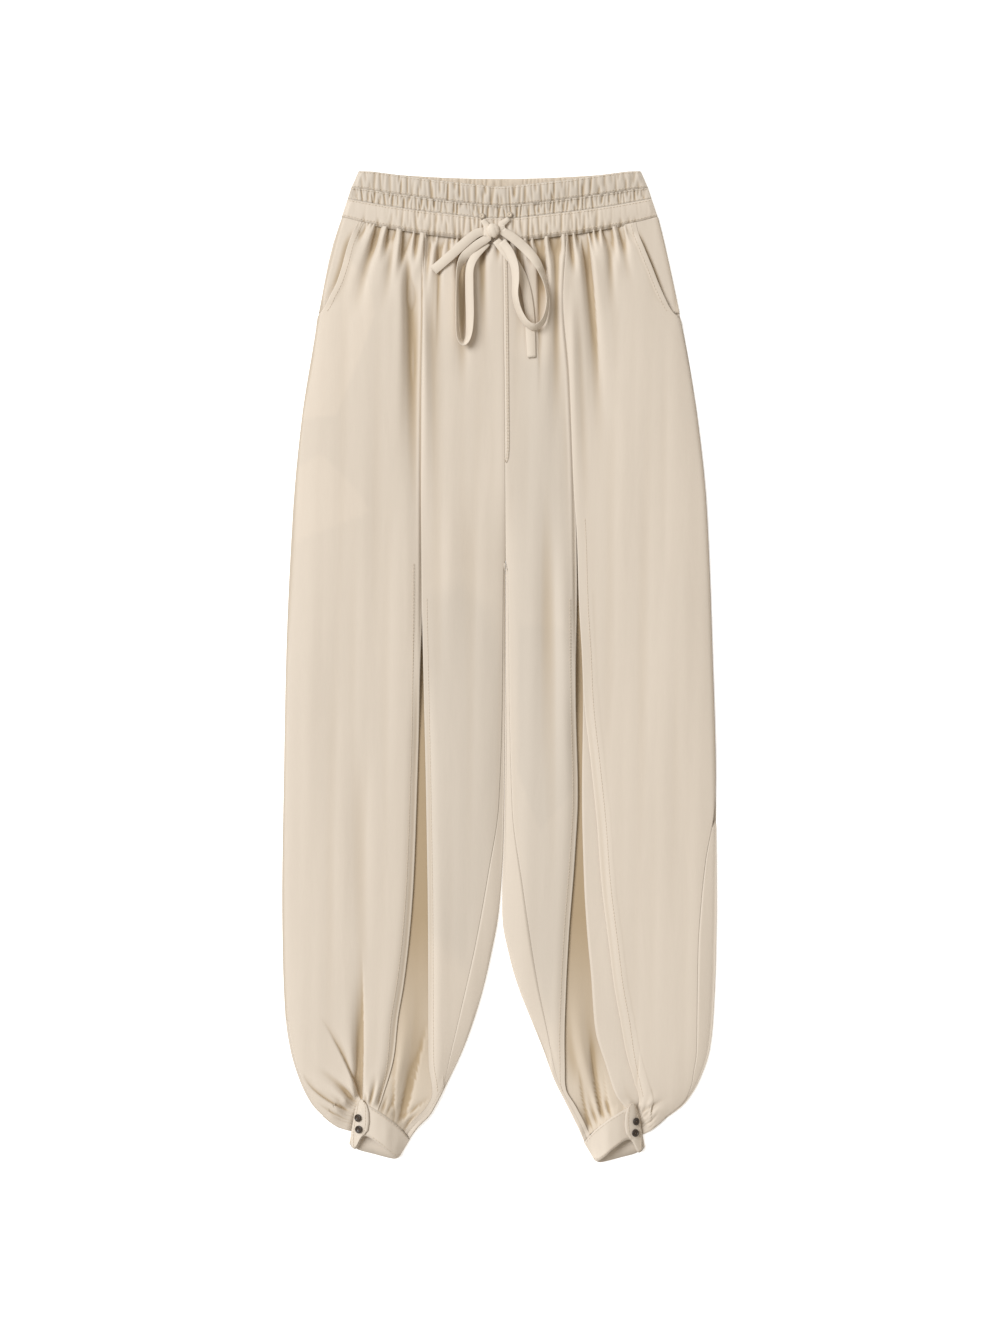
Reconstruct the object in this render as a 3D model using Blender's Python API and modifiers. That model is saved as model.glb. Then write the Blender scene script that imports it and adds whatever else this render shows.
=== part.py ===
"""Pleated balloon trousers, laid flat on a table with the front up.

Sizes in the tables are millimetres. x runs across from the middle and down runs from the waistband's
top corners towards the cuffs. Left and right are as seen from above. Heights are above the table.
"""

import math
from collections import namedtuple
from itertools import product

import bmesh
import bpy
import numpy as np
from mathutils import Vector

MM = 0.001

# Driving sizes
LENGTH = 993.2  # top corners of the waistband to the lowest point of the cuffs
CLOTH = 1.2  # wall of every panel
THIN = 1.0  # wall of the underlays, strips and tape
SEAM = 0.3  # gap between two pieces
LIE = CLOTH + SEAM + CLOTH  # top of a front panel that lies flat on the back panel
UNDERLAY_TOP = CLOTH + SEAM + THIN
LEG_CROWN = 3.2  # air under the front of a leg
CROWN_REACH = 14.0  # how far in from an edge the crown is reached
WAIST_RISE = 8.0  # how far the front of the waist stands up in the middle
WAIST_RISE_BELOW = 7.2  # the same just below the waistband
WAIST_POWER = 2.2
WAIST_PUFF = 1.4  # how far the gathered waistband puffs out
WAIST_ROWS = 60.0  # rows of cloth below the waistband that still follow its curve
WAIST_FORM = (60.0, 230.0)  # distance down over which the waist's rounding gives way to the legs'
LEGS_PART = (300.0, 400.0)  # distance down over which the two legs come apart
FLAT_END = 0.04  # share of the half width over which the band's gathers end at the side seams
SEAM_GATHER = 0.3  # share of a gather's depth that is left at the waistband's seams
CROTCH = 390.0
STRAIGHT_ABOVE = 850.0  # rows of cloth run straight across above this and bend to the cuff below it
LAST_ROW = 966.0
CUFF_BEND = (895.0, LAST_ROW)  # rows over which the cloth takes the shape of the cuff's edge
SIDE_WRAP = (655.0, 950.0)  # rows between which the right leg's back comes round its outer edge
LEAST_WRAP = 2.6
FIRST_ROW = 70.0
CUFF_SHIFT = (-5.0, 3.5)  # the right cuff against the left one's mirror image
EYELETS = {"left": (-17.5, 47.0), "right": (10.0, 45.7)}
EYELET_MIDDLE = -3.7
CALM = (16.0, 22.0)  # round the eyelets the band has no gathers out to here
EYELET_RADII = (2.5, 0.6)  # of the ring and of its thread
KNOT = (-6.5, 62.0)
KNOT_RADII = (7.0, 7.5, 3.4)
TAPE_CLEARANCE = 0.6

CLOTH_COLOUR = (0.70, 0.62, 0.51, 1.0)
INSIDE_COLOUR = (0.56, 0.48, 0.38, 1.0)
BUTTON_COLOUR = (0.035, 0.025, 0.018, 1.0)

# Waist lines across the front: distance down at each share of the half width
WaistLine = namedtuple("WaistLine", "half_width back_dip side down")
WAIST_SHARES = (0.0, 0.12, 0.3, 0.5, 0.75, 0.9, 1.0)
WAIST = {
    "rim": WaistLine(141.0, 7.7, 0.3, (17.6, 16.0, 13.2, 9.8, 4.2, 1.2, 0.3)),
    "casing": WaistLine(148.5, 9.0, 17.3, (36.5, 35.3, 32.5, 28.4, 23.0, 19.0, 17.3)),
    "band": WaistLine(152.0, 10.5, 28.0, (48.5, 48.3, 45.0, 41.3, 35.5, 31.0, 28.0)),
    "hem": WaistLine(158.0, 11.0, 46.0, (69.5, 69.5, 66.3, 62.3, 55.3, 50.5, 46.0)),
}

# Waist pieces: the lines they lie between, number and depth of the gathers, how far they puff out
WaistPiece = namedtuple("WaistPiece", "name upper lower gathers depth puff")
WAIST_PIECES = (
    WaistPiece("waist_rim", "rim", "casing", 26, 0.8, 1.3),
    WaistPiece("waist_casing", "casing", "band", 60, 0.8, -0.4),
    WaistPiece("waist_band", "band", "hem", 22, 0.6, 1.3),
)

# Edges of each leg, as (down, x). The last point of each comes from the cuff's own edge.
OUTLINE_LEFT = (
    (46, -157.5), (70, -164.5), (130, -178.5), (190, -188.5), (250, -198.0), (340, -206.5),
    (490, -213.5), (610, -215.8), (730, -217.5), (790, -216.7), (850, -214.0), (880, -209.5),
    (910, -200.5), (934, -188.5), (946, -177.5), (958, -161.5),
)
OUTLINE_RIGHT = (
    (46, 158.5), (70, 164.5), (130, 177.5), (190, 189.5), (250, 198.5), (340, 207.5),
    (490, 213.5), (610, 216.5), (730, 217.5), (790, 216.7), (850, 214.0), (880, 210.5),
    (910, 200.5), (934, 185.5), (946, 170.5), (960, 153.0),
)
INNER_LEFT = (
    (70, 3.5), (290, 5.5), (388, 5.95), (470, 6.0), (610, 5.0), (670, 4.0), (710, 2.0), (745, -1.0),
    (790, -9.5), (820, -16.5), (850, -25.5), (880, -36.5), (910, -50.5), (934, -62.5),
    (946, -69.5), (958, -81.5),
)
INNER_RIGHT = (
    (70, 3.8), (290, 5.8), (388, 6.25), (470, 6.3), (610, 5.3), (670, 4.3), (710, 2.9), (745, 2.5),
    (790, 10.5), (820, 19.5), (850, 31.5), (880, 43.5), (910, 54.5), (934, 66.5),
    (946, 72.5), (958, 78.5),
)
INSEAM_LEFT = (
    (70, 3.65), (290, 5.65), (388, 6.1), (402, 4.2), (530, 3.0), (633, -0.5), (705, -11.5),
    (774, -24.0), (830, -36.5), (886, -49.5), (918, -57.0), (942, -69.5), (958, -84.5),
)
INSEAM_RIGHT = (
    (70, 3.65), (290, 5.65), (388, 6.1), (402, 8.4), (530, 10.0), (639, 13.0), (717, 23.5),
    (811, 38.0), (858, 47.5), (905, 57.0), (934, 69.0), (946, 75.5), (958, 81.5),
)
SIDE_SEAM_RIGHT = (
    (640, 215.0), (692, 206.0), (740, 201.0), (780, 198.5), (842, 197.5), (880, 197.0),
    (910, 192.0), (934, 181.0), (946, 167.0), (960, 150.0),
)
PLEAT_OUTER_LEFT = (
    (70, -74.6), (130, -77.1), (232, -79.1), (390, -79.0), (530, -80.0), (624, -82.5),
    (710, -85.8), (761, -89.5), (813, -95.5), (849, -101.5), (886, -105.5), (931, -118.5),
)
PLEAT_INNER_LEFT = (
    (70, -74.0), (130, -76.5), (232, -78.5), (390, -78.0), (530, -75.5), (624, -73.5),
    (761, -71.5), (886, -71.0), (915, -69.5), (930, -69.0), (942, -74.0), (958, -89.0),
)
PLEAT_INNER_RIGHT = (
    (70, 66.5), (128, 63.0), (206, 69.0), (321, 73.5), (385, 74.5), (540, 76.5), (624, 78.5),
    (686, 75.5), (764, 69.5), (820, 66.5), (871, 65.0), (905, 65.5), (922, 67.0), (940, 77.0),
    (958, 86.5),
)
PLEAT_OUTER_RIGHT = (
    (70, 67.1), (128, 63.6), (206, 69.6), (321, 74.2), (360, 77.0), (436, 79.5), (487, 82.5),
    (530, 84.5), (592, 91.1), (655, 97.5), (710, 101.5), (776, 109.5), (816, 114.5),
    (849, 120.5), (882, 126.5), (911, 134.5), (930, 139.5),
)
STRIP_RIGHT = (
    (440, 80.5), (530, 83.5), (624, 82.5), (710, 84.5), (761, 87.5), (805, 91.5), (858, 95.5),
    (896, 106.5), (925, 116.5),
)
POCKET_LEFT = (
    (49, -139.5), (64, -147.5), (78, -152.5), (95, -157.0), (113, -163.0), (126, -169.5),
    (138, -175.5), (146, -181.8), (160, -183.8),
)
POCKET_RIGHT = (
    (50, 136.0), (65, 139.5), (75, 143.5), (97, 152.5), (117, 160.5), (129, 166.0),
    (141, 172.5), (150, 181.5), (163, 183.8),
)
POCKET_TOP = 46.5
POCKET_END = 143.0
POCKET_LAP = 6.0
POCKET_LIFT = 2.6
POCKET_EASE = (9.0, 17.0)  # how far from the pocket's edge the front comes down again
POCKET_FADE = (148.0, 168.0)  # distance down over which the pocket's lift ends

# The cuff's upper edge as the leg meets it, from the outer fold over the tab to the inner fold
CUFF_FRONT_EDGE = (
    (-150.5, 961.0), (-148.8, 950.0), (-143.9, 938.0), (-137.9, 932.5), (-132.5, 934.5),
    (-121.5, 940.0), (-110.5, 947.5), (-99.5, 957.0), (-92.5, 965.0), (-89.5, 969.5),
)
CUFF_BACK_EDGE = (
    (-150.5, 961.0), (-148.8, 950.0), (-143.9, 938.0), (-134.0, 941.0), (-115.0, 950.0),
    (-97.0, 962.0), (-89.5, 969.5),
)
BESIDE = {"inseam": "inner", "pleat_inner": "inner", "pocket": "outline"}
CUFF_CLEARANCE = 1.7
CUFF_BACK_CLEARANCE = 2.7
ANKLE_RISE = 7.0
ANKLE_CENTRE = (-117.5, 942.0)
ANKLE_REACH = (18.0, 24.0)

# Sections round the left cuff: upper and lower edge, height of the outer face, way to the inner face
CuffSection = namedtuple("CuffSection", "top_x top_down low_x low_down height wall_x wall_z")
CUFF = (
    CuffSection(-143.9, 938.0, -150.5, 973.5, 1.9, 1.3, 0.0),
    CuffSection(-141.0, 934.5, -144.0, 979.0, 5.5, 0.5, -1.2),
    CuffSection(-136.0, 932.5, -135.0, 965.5, 9.0, 0.2, -1.2),
    CuffSection(-121.5, 940.0, -120.0, 973.5, 12.0, 0.0, -1.2),
    CuffSection(-110.5, 947.5, -110.5, 982.0, 11.0, 0.0, -1.2),
    CuffSection(-99.5, 957.0, -103.5, 987.0, 7.2, -0.5, -1.1),
    CuffSection(-89.5, 969.5, -99.5, 986.5, 1.9, -1.3, 0.0),
    CuffSection(-97.0, 962.0, -106.0, 989.3, 0.0, -0.2, 1.2),
    CuffSection(-115.0, 950.0, -126.0, 984.5, 0.0, 0.0, 1.2),
    CuffSection(-134.0, 941.0, -142.0, 980.0, 0.0, 0.2, 1.2),
)
CUFF_STEPS = 3  # columns between two sections
CUFF_ROWS = (0.0, 0.35, 0.7, 1.0)

# Tab on the cuff: share of the cuff's height, first and last section that the tab covers
TabRow = namedtuple("TabRow", "across first last")
TAB = (
    TabRow(-0.10, 1.80, 2.00), TabRow(0.00, 1.15, 2.30), TabRow(0.20, 0.60, 2.42),
    TabRow(0.50, 0.45, 2.42), TabRow(0.80, 0.50, 2.30), TabRow(0.97, 0.65, 2.02),
)
TAB_COLUMNS = 6
TAB_LIFT = 0.45
BUTTONS = {"upper": (0.36, 1.45), "lower": (0.68, 1.56)}  # share of the cuff's height, and section
BUTTON_PROFILE = (
    (0.0, 1.2), (2.3, 1.2), (2.8, 1.8), (3.4, 1.9), (3.85, 1.3), (3.85, 0.4), (3.5, 0.0), (0.0, 0.0),
)
BUTTON_STEPS = 16
BUTTON_CLEARANCE = 0.55  # between a button and the tab

# Gathers under the waistband: place along the seam, depth and length
Gather = namedtuple("Gather", "x depth length")
GATHERS = (
    Gather(-155.0, 1.0, 18), Gather(-134.0, 1.6, 22), Gather(-119.5, 2.6, 40),
    Gather(-107.5, 2.6, 42), Gather(-102.5, 1.6, 20), Gather(-91.5, 3.0, 60),
    Gather(-86.0, 1.8, 25), Gather(-79.5, 2.8, 45), Gather(-68.5, 3.0, 48),
    Gather(-62.5, 2.2, 30), Gather(-57.5, 2.6, 44), Gather(-52.5, 1.8, 24),
    Gather(-48.0, 2.2, 34), Gather(-43.0, 1.6, 22), Gather(-37.0, 2.8, 50),
    Gather(-26.0, 1.8, 30), Gather(-16.5, 2.2, 36), Gather(-10.5, 2.0, 28),
    Gather(-1.5, 1.6, 30), Gather(9.5, 1.6, 30), Gather(18.5, 2.0, 36), Gather(28.5, 2.4, 38),
    Gather(34.5, 2.0, 26), Gather(40.5, 3.0, 60), Gather(49.5, 2.4, 34), Gather(57.0, 2.2, 30),
    Gather(68.5, 2.8, 48), Gather(75.5, 2.2, 30), Gather(82.5, 3.0, 60), Gather(88.5, 2.2, 34),
    Gather(95.0, 2.0, 26), Gather(101.5, 2.2, 32), Gather(108.5, 2.6, 44),
    Gather(119.5, 2.6, 34), Gather(127.5, 2.0, 24), Gather(134.0, 1.6, 20),
    Gather(152.5, 1.0, 18),
)

GATHER_WIDTHS = (1.9, 4.9)  # at the seam and where a gather ends

# Larger folds, each along a curve through three points: trough depth, half width at start and end,
# and the share of its length over which it sets in. A negative depth is a ridge.
Fold = namedtuple("Fold", "x0 down0 x1 down1 x2 down2 depth start end sets_in")
FOLDS_LEFT = (
    Fold(-119.5, 54, -132.5, 95, -147.5, 160, 2.6, 3, 9, 0.0),
    Fold(-107.0, 57, -109.0, 92, -119.5, 150, 1.8, 3, 7, 0.0),
    Fold(-93.5, 60, -91.0, 180, -101.0, 385, 2.6, 4, 11, 0.0),
    Fold(-85.0, 80, -86.0, 200, -86.0, 400, 3.4, 7, 8, 0.15),
    Fold(-68.5, 64, -71.5, 90, -74.5, 140, 2.2, 3, 4, 0.0),
    Fold(-56.5, 65, -61.5, 95, -63.0, 150, 1.8, 3, 6, 0.0),
    Fold(-39.0, 80, -37.5, 130, -38.0, 230, 3.4, 4, 9, 0.1),
    Fold(-16.5, 70, -17.0, 110, -16.0, 190, 1.6, 4, 8, 0.0),
    Fold(-75.5, 110, -74.0, 250, -72.0, 420, -1.6, 5, 7, 0.2),
    Fold(-50.0, 300, -48.0, 420, -46.0, 560, -1.0, 12, 14, 0.4),
    Fold(-139.5, 540, -141.0, 700, -141.0, 870, 1.8, 14, 9, 0.5),
    Fold(-141.0, 934, -141.5, 890, -140.5, 800, 3.0, 3, 8, 0.0),
    Fold(-143.5, 936, -163.0, 912, -187.5, 893, 3.0, 3, 6, 0.0),
    Fold(-143.5, 934, -152.0, 922, -160.5, 912, 2.4, 2, 5, 0.0),
    Fold(-149.0, 948, -162.0, 930, -182.0, 918, 2.4, 3, 5, 0.0),
    Fold(-130.0, 935, -127.0, 924, -123.0, 900, 2.4, 2, 4, 0.0),
    Fold(-134.5, 934, -134.0, 928, -133.0, 918, 1.8, 2, 3, 0.0),
)
FOLDS_RIGHT = (
    Fold(40.0, 70, 44.5, 110, 44.0, 205, 3.0, 4, 10, 0.0),
    Fold(18.5, 72, 21.0, 110, 20.0, 190, 1.8, 4, 8, 0.0),
    Fold(57.0, 64, 56.5, 120, 59.0, 330, 2.6, 4, 9, 0.0),
    Fold(83.0, 62, 90.0, 120, 98.0, 290, 3.2, 4, 10, 0.0),
    Fold(108.5, 59, 110.5, 90, 112.0, 150, 2.0, 3, 6, 0.0),
    Fold(119.5, 57, 124.0, 80, 131.0, 120, 1.6, 3, 6, 0.0),
    Fold(72.0, 110, 77.0, 300, 84.0, 460, -1.4, 5, 7, 0.2),
    Fold(46.0, 300, 47.5, 520, 46.0, 760, 1.5, 9, 12, 0.4),
    Fold(62.0, 330, 64.0, 520, 62.0, 740, -1.2, 8, 10, 0.4),
    Fold(140.0, 938, 150.0, 936, 163.0, 934, 0.4, 3, 4, 0.0),
    Fold(144.0, 950, 152.0, 938, 166.0, 928, 2.4, 2, 5, 0.0),
    Fold(142.0, 944, 147.0, 930, 152.0, 915, 1.8, 2, 5, 0.0),
)
UNDERLAY_FOLDS_LEFT = (
    Fold(-122.0, 941, -118.0, 920, -111.0, 894, 1.8, 2, 4, 0.0),
    Fold(-117.5, 942, -114.0, 930, -109.5, 912, 2.4, 2, 4, 0.0),
    Fold(-112.5, 946, -109.5, 934, -105.5, 920, 2.0, 2, 3, 0.0),
    Fold(-106.5, 951, -103.5, 941, -101.0, 928, 2.4, 2, 4, 0.0),
    Fold(-101.5, 955, -96.0, 938, -84.0, 880, 3.6, 3, 8, 0.0),
    Fold(-97.0, 960, -89.0, 950, -80.0, 936, 1.8, 2, 4, 0.0),
    Fold(-110.0, 940, -100.0, 895, -92.0, 800, -3.2, 6, 9, 0.35),
)
UNDERLAY_FOLDS_RIGHT = (
    Fold(112.0, 946, 104.0, 928, 98.0, 905, 2.0, 2, 4, 0.0),
    Fold(106.0, 950, 98.5, 926, 94.0, 870, 2.8, 2, 4, 0.0),
    Fold(99.0, 956, 92.0, 938, 86.0, 905, 2.2, 2, 4, 0.0),
    Fold(93.0, 962, 85.0, 944, 78.0, 915, 2.2, 2, 5, 0.0),
    Fold(95.0, 930, 84.0, 890, 80.0, 800, -3.0, 6, 8, 0.35),
)

# The mock fly's strip: distance down and the x of its outer edge
PLACKET = (
    (71.3, 7.6), (76, 7.7), (84, 7.9), (96, 8.2), (115, 8.6), (145, 9.0), (190, 9.6), (240, 10.0),
    (275, 10.2), (288, 9.4), (293, 7.6),
)
PLACKET_INSET = 0.5  # from the centre seam
PLACKET_GAP = 0.45  # between the strip and the panel
PLACKET_SPAN = (2.0, 14.0)  # across the strip and the tape's edge beside it
PLACKET_CLEARANCE = 0.2

# Tape routes: x, down, lift above what lies under it, turn from flat to on edge in degrees, width
TapePoint = namedtuple("TapePoint", "x down lift turn width")
TAPES = {
    "drawstring_end_left": (
        TapePoint(-15.2, 62.5, 0.6, 0, 8.0), TapePoint(-24.0, 65.5, 2.6, 0, 9.0),
        TapePoint(-38.5, 77.5, 4.0, 0, 9.5), TapePoint(-48.0, 86.5, 3.2, 0, 9.5),
        TapePoint(-66.0, 101.5, 0.0, 0, 9.5),
    ),
    "drawstring_loop_left": (
        TapePoint(-11.8, 69.6, 2.2, 0, 8.0), TapePoint(-22.0, 76.0, 2.2, 8, 8.5),
        TapePoint(-33.0, 85.5, 0.4, 12, 9.0), TapePoint(-40.5, 99.0, 0.2, 65, 9.5),
        TapePoint(-42.5, 120.0, 0.2, 82, 9.5), TapePoint(-42.5, 148.0, 0.2, 80, 9.5),
        TapePoint(-41.0, 167.0, 0.2, 70, 9.5), TapePoint(-36.0, 174.5, 0.2, 60, 9.5),
        TapePoint(-31.0, 167.0, 0.2, 50, 9.5), TapePoint(-29.5, 148.0, 0.2, 32, 9.5),
        TapePoint(-30.0, 120.0, 0.2, 28, 9.5), TapePoint(-29.5, 100.0, 0.2, 25, 9.0),
        TapePoint(-24.0, 87.0, 0.2, 15, 8.5), TapePoint(-12.5, 73.5, 0.2, 5, 8.0),
    ),
    "drawstring_loop_right": (
        TapePoint(2.4, 62.0, 0.8, 0, 8.0), TapePoint(14.0, 69.5, 0.8, 0, 9.5),
        TapePoint(27.0, 81.0, 0.4, 10, 10.0), TapePoint(38.0, 95.0, 0.2, 35, 10.0),
        TapePoint(45.0, 112.0, 0.2, 65, 10.0), TapePoint(48.0, 128.0, 0.2, 75, 10.0),
        TapePoint(47.0, 142.0, 0.4, 72, 10.0), TapePoint(43.0, 153.0, 1.4, 62, 10.0),
        TapePoint(35.5, 158.5, 2.2, 55, 10.0), TapePoint(26.5, 154.0, 2.2, 55, 10.0),
        TapePoint(19.0, 141.0, 1.4, 55, 10.0), TapePoint(15.5, 126.0, 0.4, 52, 10.0),
        TapePoint(16.0, 110.0, 1.8, 40, 9.5), TapePoint(14.5, 96.0, 2.6, 25, 9.0),
        TapePoint(9.5, 83.0, 2.6, 10, 8.5), TapePoint(2.0, 73.0, 1.9, 0, 8.0),
    ),
    "drawstring_end_right": (
        TapePoint(-3.5, 71.5, 0.0, 0, 8.0), TapePoint(4.0, 80.5, 0.0, 0, 9.0),
        TapePoint(16.0, 96.0, 0.0, 0, 9.5), TapePoint(25.0, 115.0, 0.0, 0, 9.5),
        TapePoint(29.5, 140.0, 0.0, 0, 9.5), TapePoint(31.0, 165.0, 0.0, 0, 9.5),
        TapePoint(32.0, 188.0, 0.0, 0, 8.5),
    ),
    "drawstring_strand_left": (
        TapePoint(-17.0, 51.0, 0.3, 0, 4.5), TapePoint(-15.2, 53.6, 0.5, 0, 5.5),
        TapePoint(-12.9, 56.2, 0.9, 0, 6.5),
    ),
    "drawstring_strand_right": (
        TapePoint(9.4, 49.7, 0.3, 0, 4.5), TapePoint(6.2, 52.2, 0.5, 0, 5.5),
        TapePoint(1.6, 55.6, 0.9, 0, 6.5),
    ),
}
TAPE_STEP = 5.0

# Rows down a front panel: distance down and how finely the cloth is divided across
ROWS = (
    (FIRST_ROW, "gather"), (74, "gather"), (81, "gather"), (93, "half"), (108, "fold"),
    (126, "fold"), (146, "fold"), (168, "fold"), (205, "fold"), (255, "leg"), (310, "leg"),
    (CROTCH - 1, "leg"), (CROTCH + 12, "leg"), (480, "leg"), (570, "leg"), (660, "leg"),
    (740, "leg"), (800, "leg"), (845, "ankle"),
    (880, "ankle"), (905, "ankle"), (925, "ankle"), (941, "ankle"), (954, "ankle"),
    (LAST_ROW, "ankle"),
)
SPACING = {"fold": 5.5, "leg": 15.0, "ankle": 6.0}  # between columns, at the widest
UNDERLAY_RISE = 0.85  # share of the ankle's rise that the underlay takes
TROUGH_SHARE = 0.35  # share of its folds' depth
RIDGE_SHARE = 0.6
UNDERLAY_ROWS = (330, 420, 520, 620, 720, 790, 840, 880, 910, 930, 945, 957, LAST_ROW)
STRIP_ROWS = (450, 540, 640, 730, 800, 850, 890, 915, 935, 951, LAST_ROW)
HIDDEN_TOP = 30.0  # how far above the underlay and the strip the front already clears them
PLEAT_REACH = 14.0  # how far from a pleat's edges the front lies on the underlay
STRIP_REACH = (-1.0, 18.0)  # where the front lies on the facing strip, from the pleat's outer edge
LAP = 8.0  # how far the underlay laps under each front panel
STRIP_LAP = 12.0
LAP_ENDS = (865.0, 915.0)  # rows over which the laps narrow towards the cuff
LAP_LOST = 0.8  # share of a lap that is lost there
LOOSE = {"front": 0.2, "strip": 0.4, "over_strip": 0.5}  # spare height between layers
BACK_ROWS = (FIRST_ROW, 130, 220, 320, CROTCH - 1, CROTCH + 12, 480, 570, 645, 660, 740, 800,
             845, 880, 905, 925, 941, 954, LAST_ROW)


def curve(table):
    """A smooth function of the table's first column, through its points and without overshoot."""
    at, values = np.array(table, float).T
    step = np.diff(values) / np.diff(at)
    product = step[1:] * step[:-1]
    total = np.where(product > 0, step[1:] + step[:-1], 1.0)
    slope = np.concatenate([step[:1], np.where(product > 0, 2 * product / total, 0.0), step[-1:]])

    def value(where):
        where = np.clip(where, at[0], at[-1])
        i = np.clip(np.searchsorted(at, where, side="right") - 1, 0, len(at) - 2)
        width = at[i + 1] - at[i]
        s = (where - at[i]) / width
        return (
            (1 + 2 * s) * (1 - s) ** 2 * values[i]
            + s * (1 - s) ** 2 * width * slope[i]
            + s * s * (3 - 2 * s) * values[i + 1]
            + s * s * (s - 1) * width * slope[i + 1]
        )

    return value


def ease(share):
    share = np.clip(share, 0.0, 1.0)
    return share * share * (3 - 2 * share)


def ease_over(value, reach):
    """From 0 before a reach to 1 after it."""
    return ease((value - reach[0]) / (reach[1] - reach[0]))


def mix(first, second, share):
    return first + (second - first) * share


def along(points, shares):
    """Places at the given shares of a line's length."""
    points = np.array(points, float)
    length = np.concatenate([[0], np.cumsum(np.hypot(*np.diff(points, axis=0).T))])
    where = np.asarray(shares) * length[-1]
    return np.stack([np.interp(where, length, points[:, k]) for k in (0, 1)], axis=-1)


def moved_out(points, distance):
    """The line moved to its left side, seen along it."""
    points = np.array(points, float)
    run = np.gradient(points, axis=0)
    run /= np.hypot(*run.T)[:, None]
    return points + distance * np.stack([run[:, 1], -run[:, 0]], axis=-1)


def mirrored(points):
    """A line of the left leg's cuff as the right leg has it."""
    return [(-x + CUFF_SHIFT[0], down + CUFF_SHIFT[1]) for x, down in points]


def bend_share(row):
    """How far a row has taken the shape of the cuff's edge."""
    return float(ease_over(row, CUFF_BEND))


def waist_share(row):
    """How far a row still follows the waistband's curve."""
    return 1 - float(ease((row - FIRST_ROW) / WAIST_ROWS))


class Leg:
    """The edges of one leg, each a function of the distance down."""

    def __init__(self, side, sign, edges, folds, underlay_folds):
        self.side, self.sign = side, sign
        self.folds, self.underlay_folds = folds, underlay_folds
        front = moved_out(CUFF_FRONT_EDGE, CUFF_CLEARANCE)
        back = moved_out(CUFF_BACK_EDGE, CUFF_BACK_CLEARANCE)
        self.front_edge = front if sign < 0 else mirrored(front)
        self.back_edge = back if sign < 0 else mirrored(back)
        self.ankle = ANKLE_CENTRE if sign < 0 else mirrored([ANKLE_CENTRE])[0]
        self.ends, self.lines, self.last = {}, {}, {}
        for name, (table, share) in edges.items():
            x, down = along(self.front_edge, share)
            self.ends[name] = share
            self.last[name] = float(down)
            self.lines[name] = curve([row for row in table if row[0] < down - 1] + [(down, x)])

    def beside(self, name, edge, row):
        """Where a row of cloth near the cuff meets a line that runs close to an edge."""
        x, down = self.point(edge, row)
        across = self.lines[name](down) - self.lines[edge](down)
        away = along(self.front_edge, self.ends[name]) - along(self.front_edge, self.ends[edge])
        bend = bend_share(row)
        across = mix(across, away[0], bend)
        if name == "inseam" or row < SIDE_WRAP[1]:
            across = math.copysign(max(abs(across), LEAST_WRAP), across)
        return float(x + across), float(down + bend * away[1])

    def point(self, name, row):
        """Where the numbered row of cloth meets an edge."""
        if row > STRAIGHT_ABOVE and name in BESIDE:
            return self.beside(name, BESIDE[name], row)
        down = np.asarray(row, float)
        if row > STRAIGHT_ABOVE:
            share = (row - STRAIGHT_ABOVE) / (LAST_ROW - STRAIGHT_ABOVE)
            down = STRAIGHT_ABOVE + share * (self.last[name] - STRAIGHT_ABOVE)
        level = down
        for _ in range(5):
            x = self.lines[name](down)
            down = level + (hem_down(x) + SEAM - FIRST_ROW) * waist_share(row)
        return float(self.lines[name](down)), float(down)


def waist_down(line, x):
    """Distance down of one of the front's waist lines."""
    return np.interp(np.abs(x) / line.half_width, WAIST_SHARES, line.down)


def hem_down(x):
    return waist_down(WAIST["hem"], x)


LEFT = Leg("left", -1, {
    "outline": (OUTLINE_LEFT, 0.0), "pocket": (POCKET_LEFT + OUTLINE_LEFT[4:], 0.0),
    "pleat_outer": (PLEAT_OUTER_LEFT, 0.53), "pleat_inner": (PLEAT_INNER_LEFT, 0.90),
    "inseam": (INSEAM_LEFT, 0.945), "inner": (INNER_LEFT, 1.0),
}, FOLDS_LEFT, UNDERLAY_FOLDS_LEFT)
RIGHT = Leg("right", 1, {
    "outline": (OUTLINE_RIGHT, 0.0),
    "pocket": (POCKET_RIGHT + OUTLINE_RIGHT[4:8] + SIDE_SEAM_RIGHT, 0.0),
    "pleat_outer": (PLEAT_OUTER_RIGHT, 0.26), "strip": (STRIP_RIGHT, 0.40),
    "pleat_inner": (PLEAT_INNER_RIGHT, 0.90), "inseam": (INSEAM_RIGHT, 0.945),
    "inner": (INNER_RIGHT, 1.0),
}, FOLDS_RIGHT, UNDERLAY_FOLDS_RIGHT)


def fold_depth(fold, x, down):
    """How far one fold lowers the cloth."""
    t = (down - fold.down0) / (fold.down2 - fold.down0)
    middle = (fold.down1 - fold.down0) / (fold.down2 - fold.down0)
    line = (
        fold.x0 * (t - middle) * (t - 1) / middle
        + fold.x1 * t * (t - 1) / (middle * (middle - 1))
        + fold.x2 * t * (t - middle) / (1 - middle)
    )
    inside = (t >= -0.02) & (t <= 1)
    t = np.clip(t, 0, 1)
    fade = (1 - ease(t)) * (ease(t / fold.sets_in) if fold.sets_in else 1.0)
    slant = math.hypot(fold.x2 - fold.x0, fold.down2 - fold.down0) / abs(fold.down2 - fold.down0)
    width = mix(fold.start, fold.end, t) * slant
    return np.where(inside, fold.depth * fade * np.exp(-(((x - line) / width) ** 2)), 0.0)


def gather_depth(x, down):
    """How far the gathers under the waistband lower the cloth."""
    total = 0.0
    spread = np.interp(down, *np.array(OUTLINE_RIGHT, float)[:6].T) / WAIST["hem"].half_width
    for gather in GATHERS:
        t = np.clip((down - hem_down(gather.x)) / gather.length, 0, 1)
        width = mix(*GATHER_WIDTHS, t)
        total = total + gather.depth * (1 - ease(t)) * np.exp(-(((x - gather.x * spread) / width) ** 2))
    return total


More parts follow.
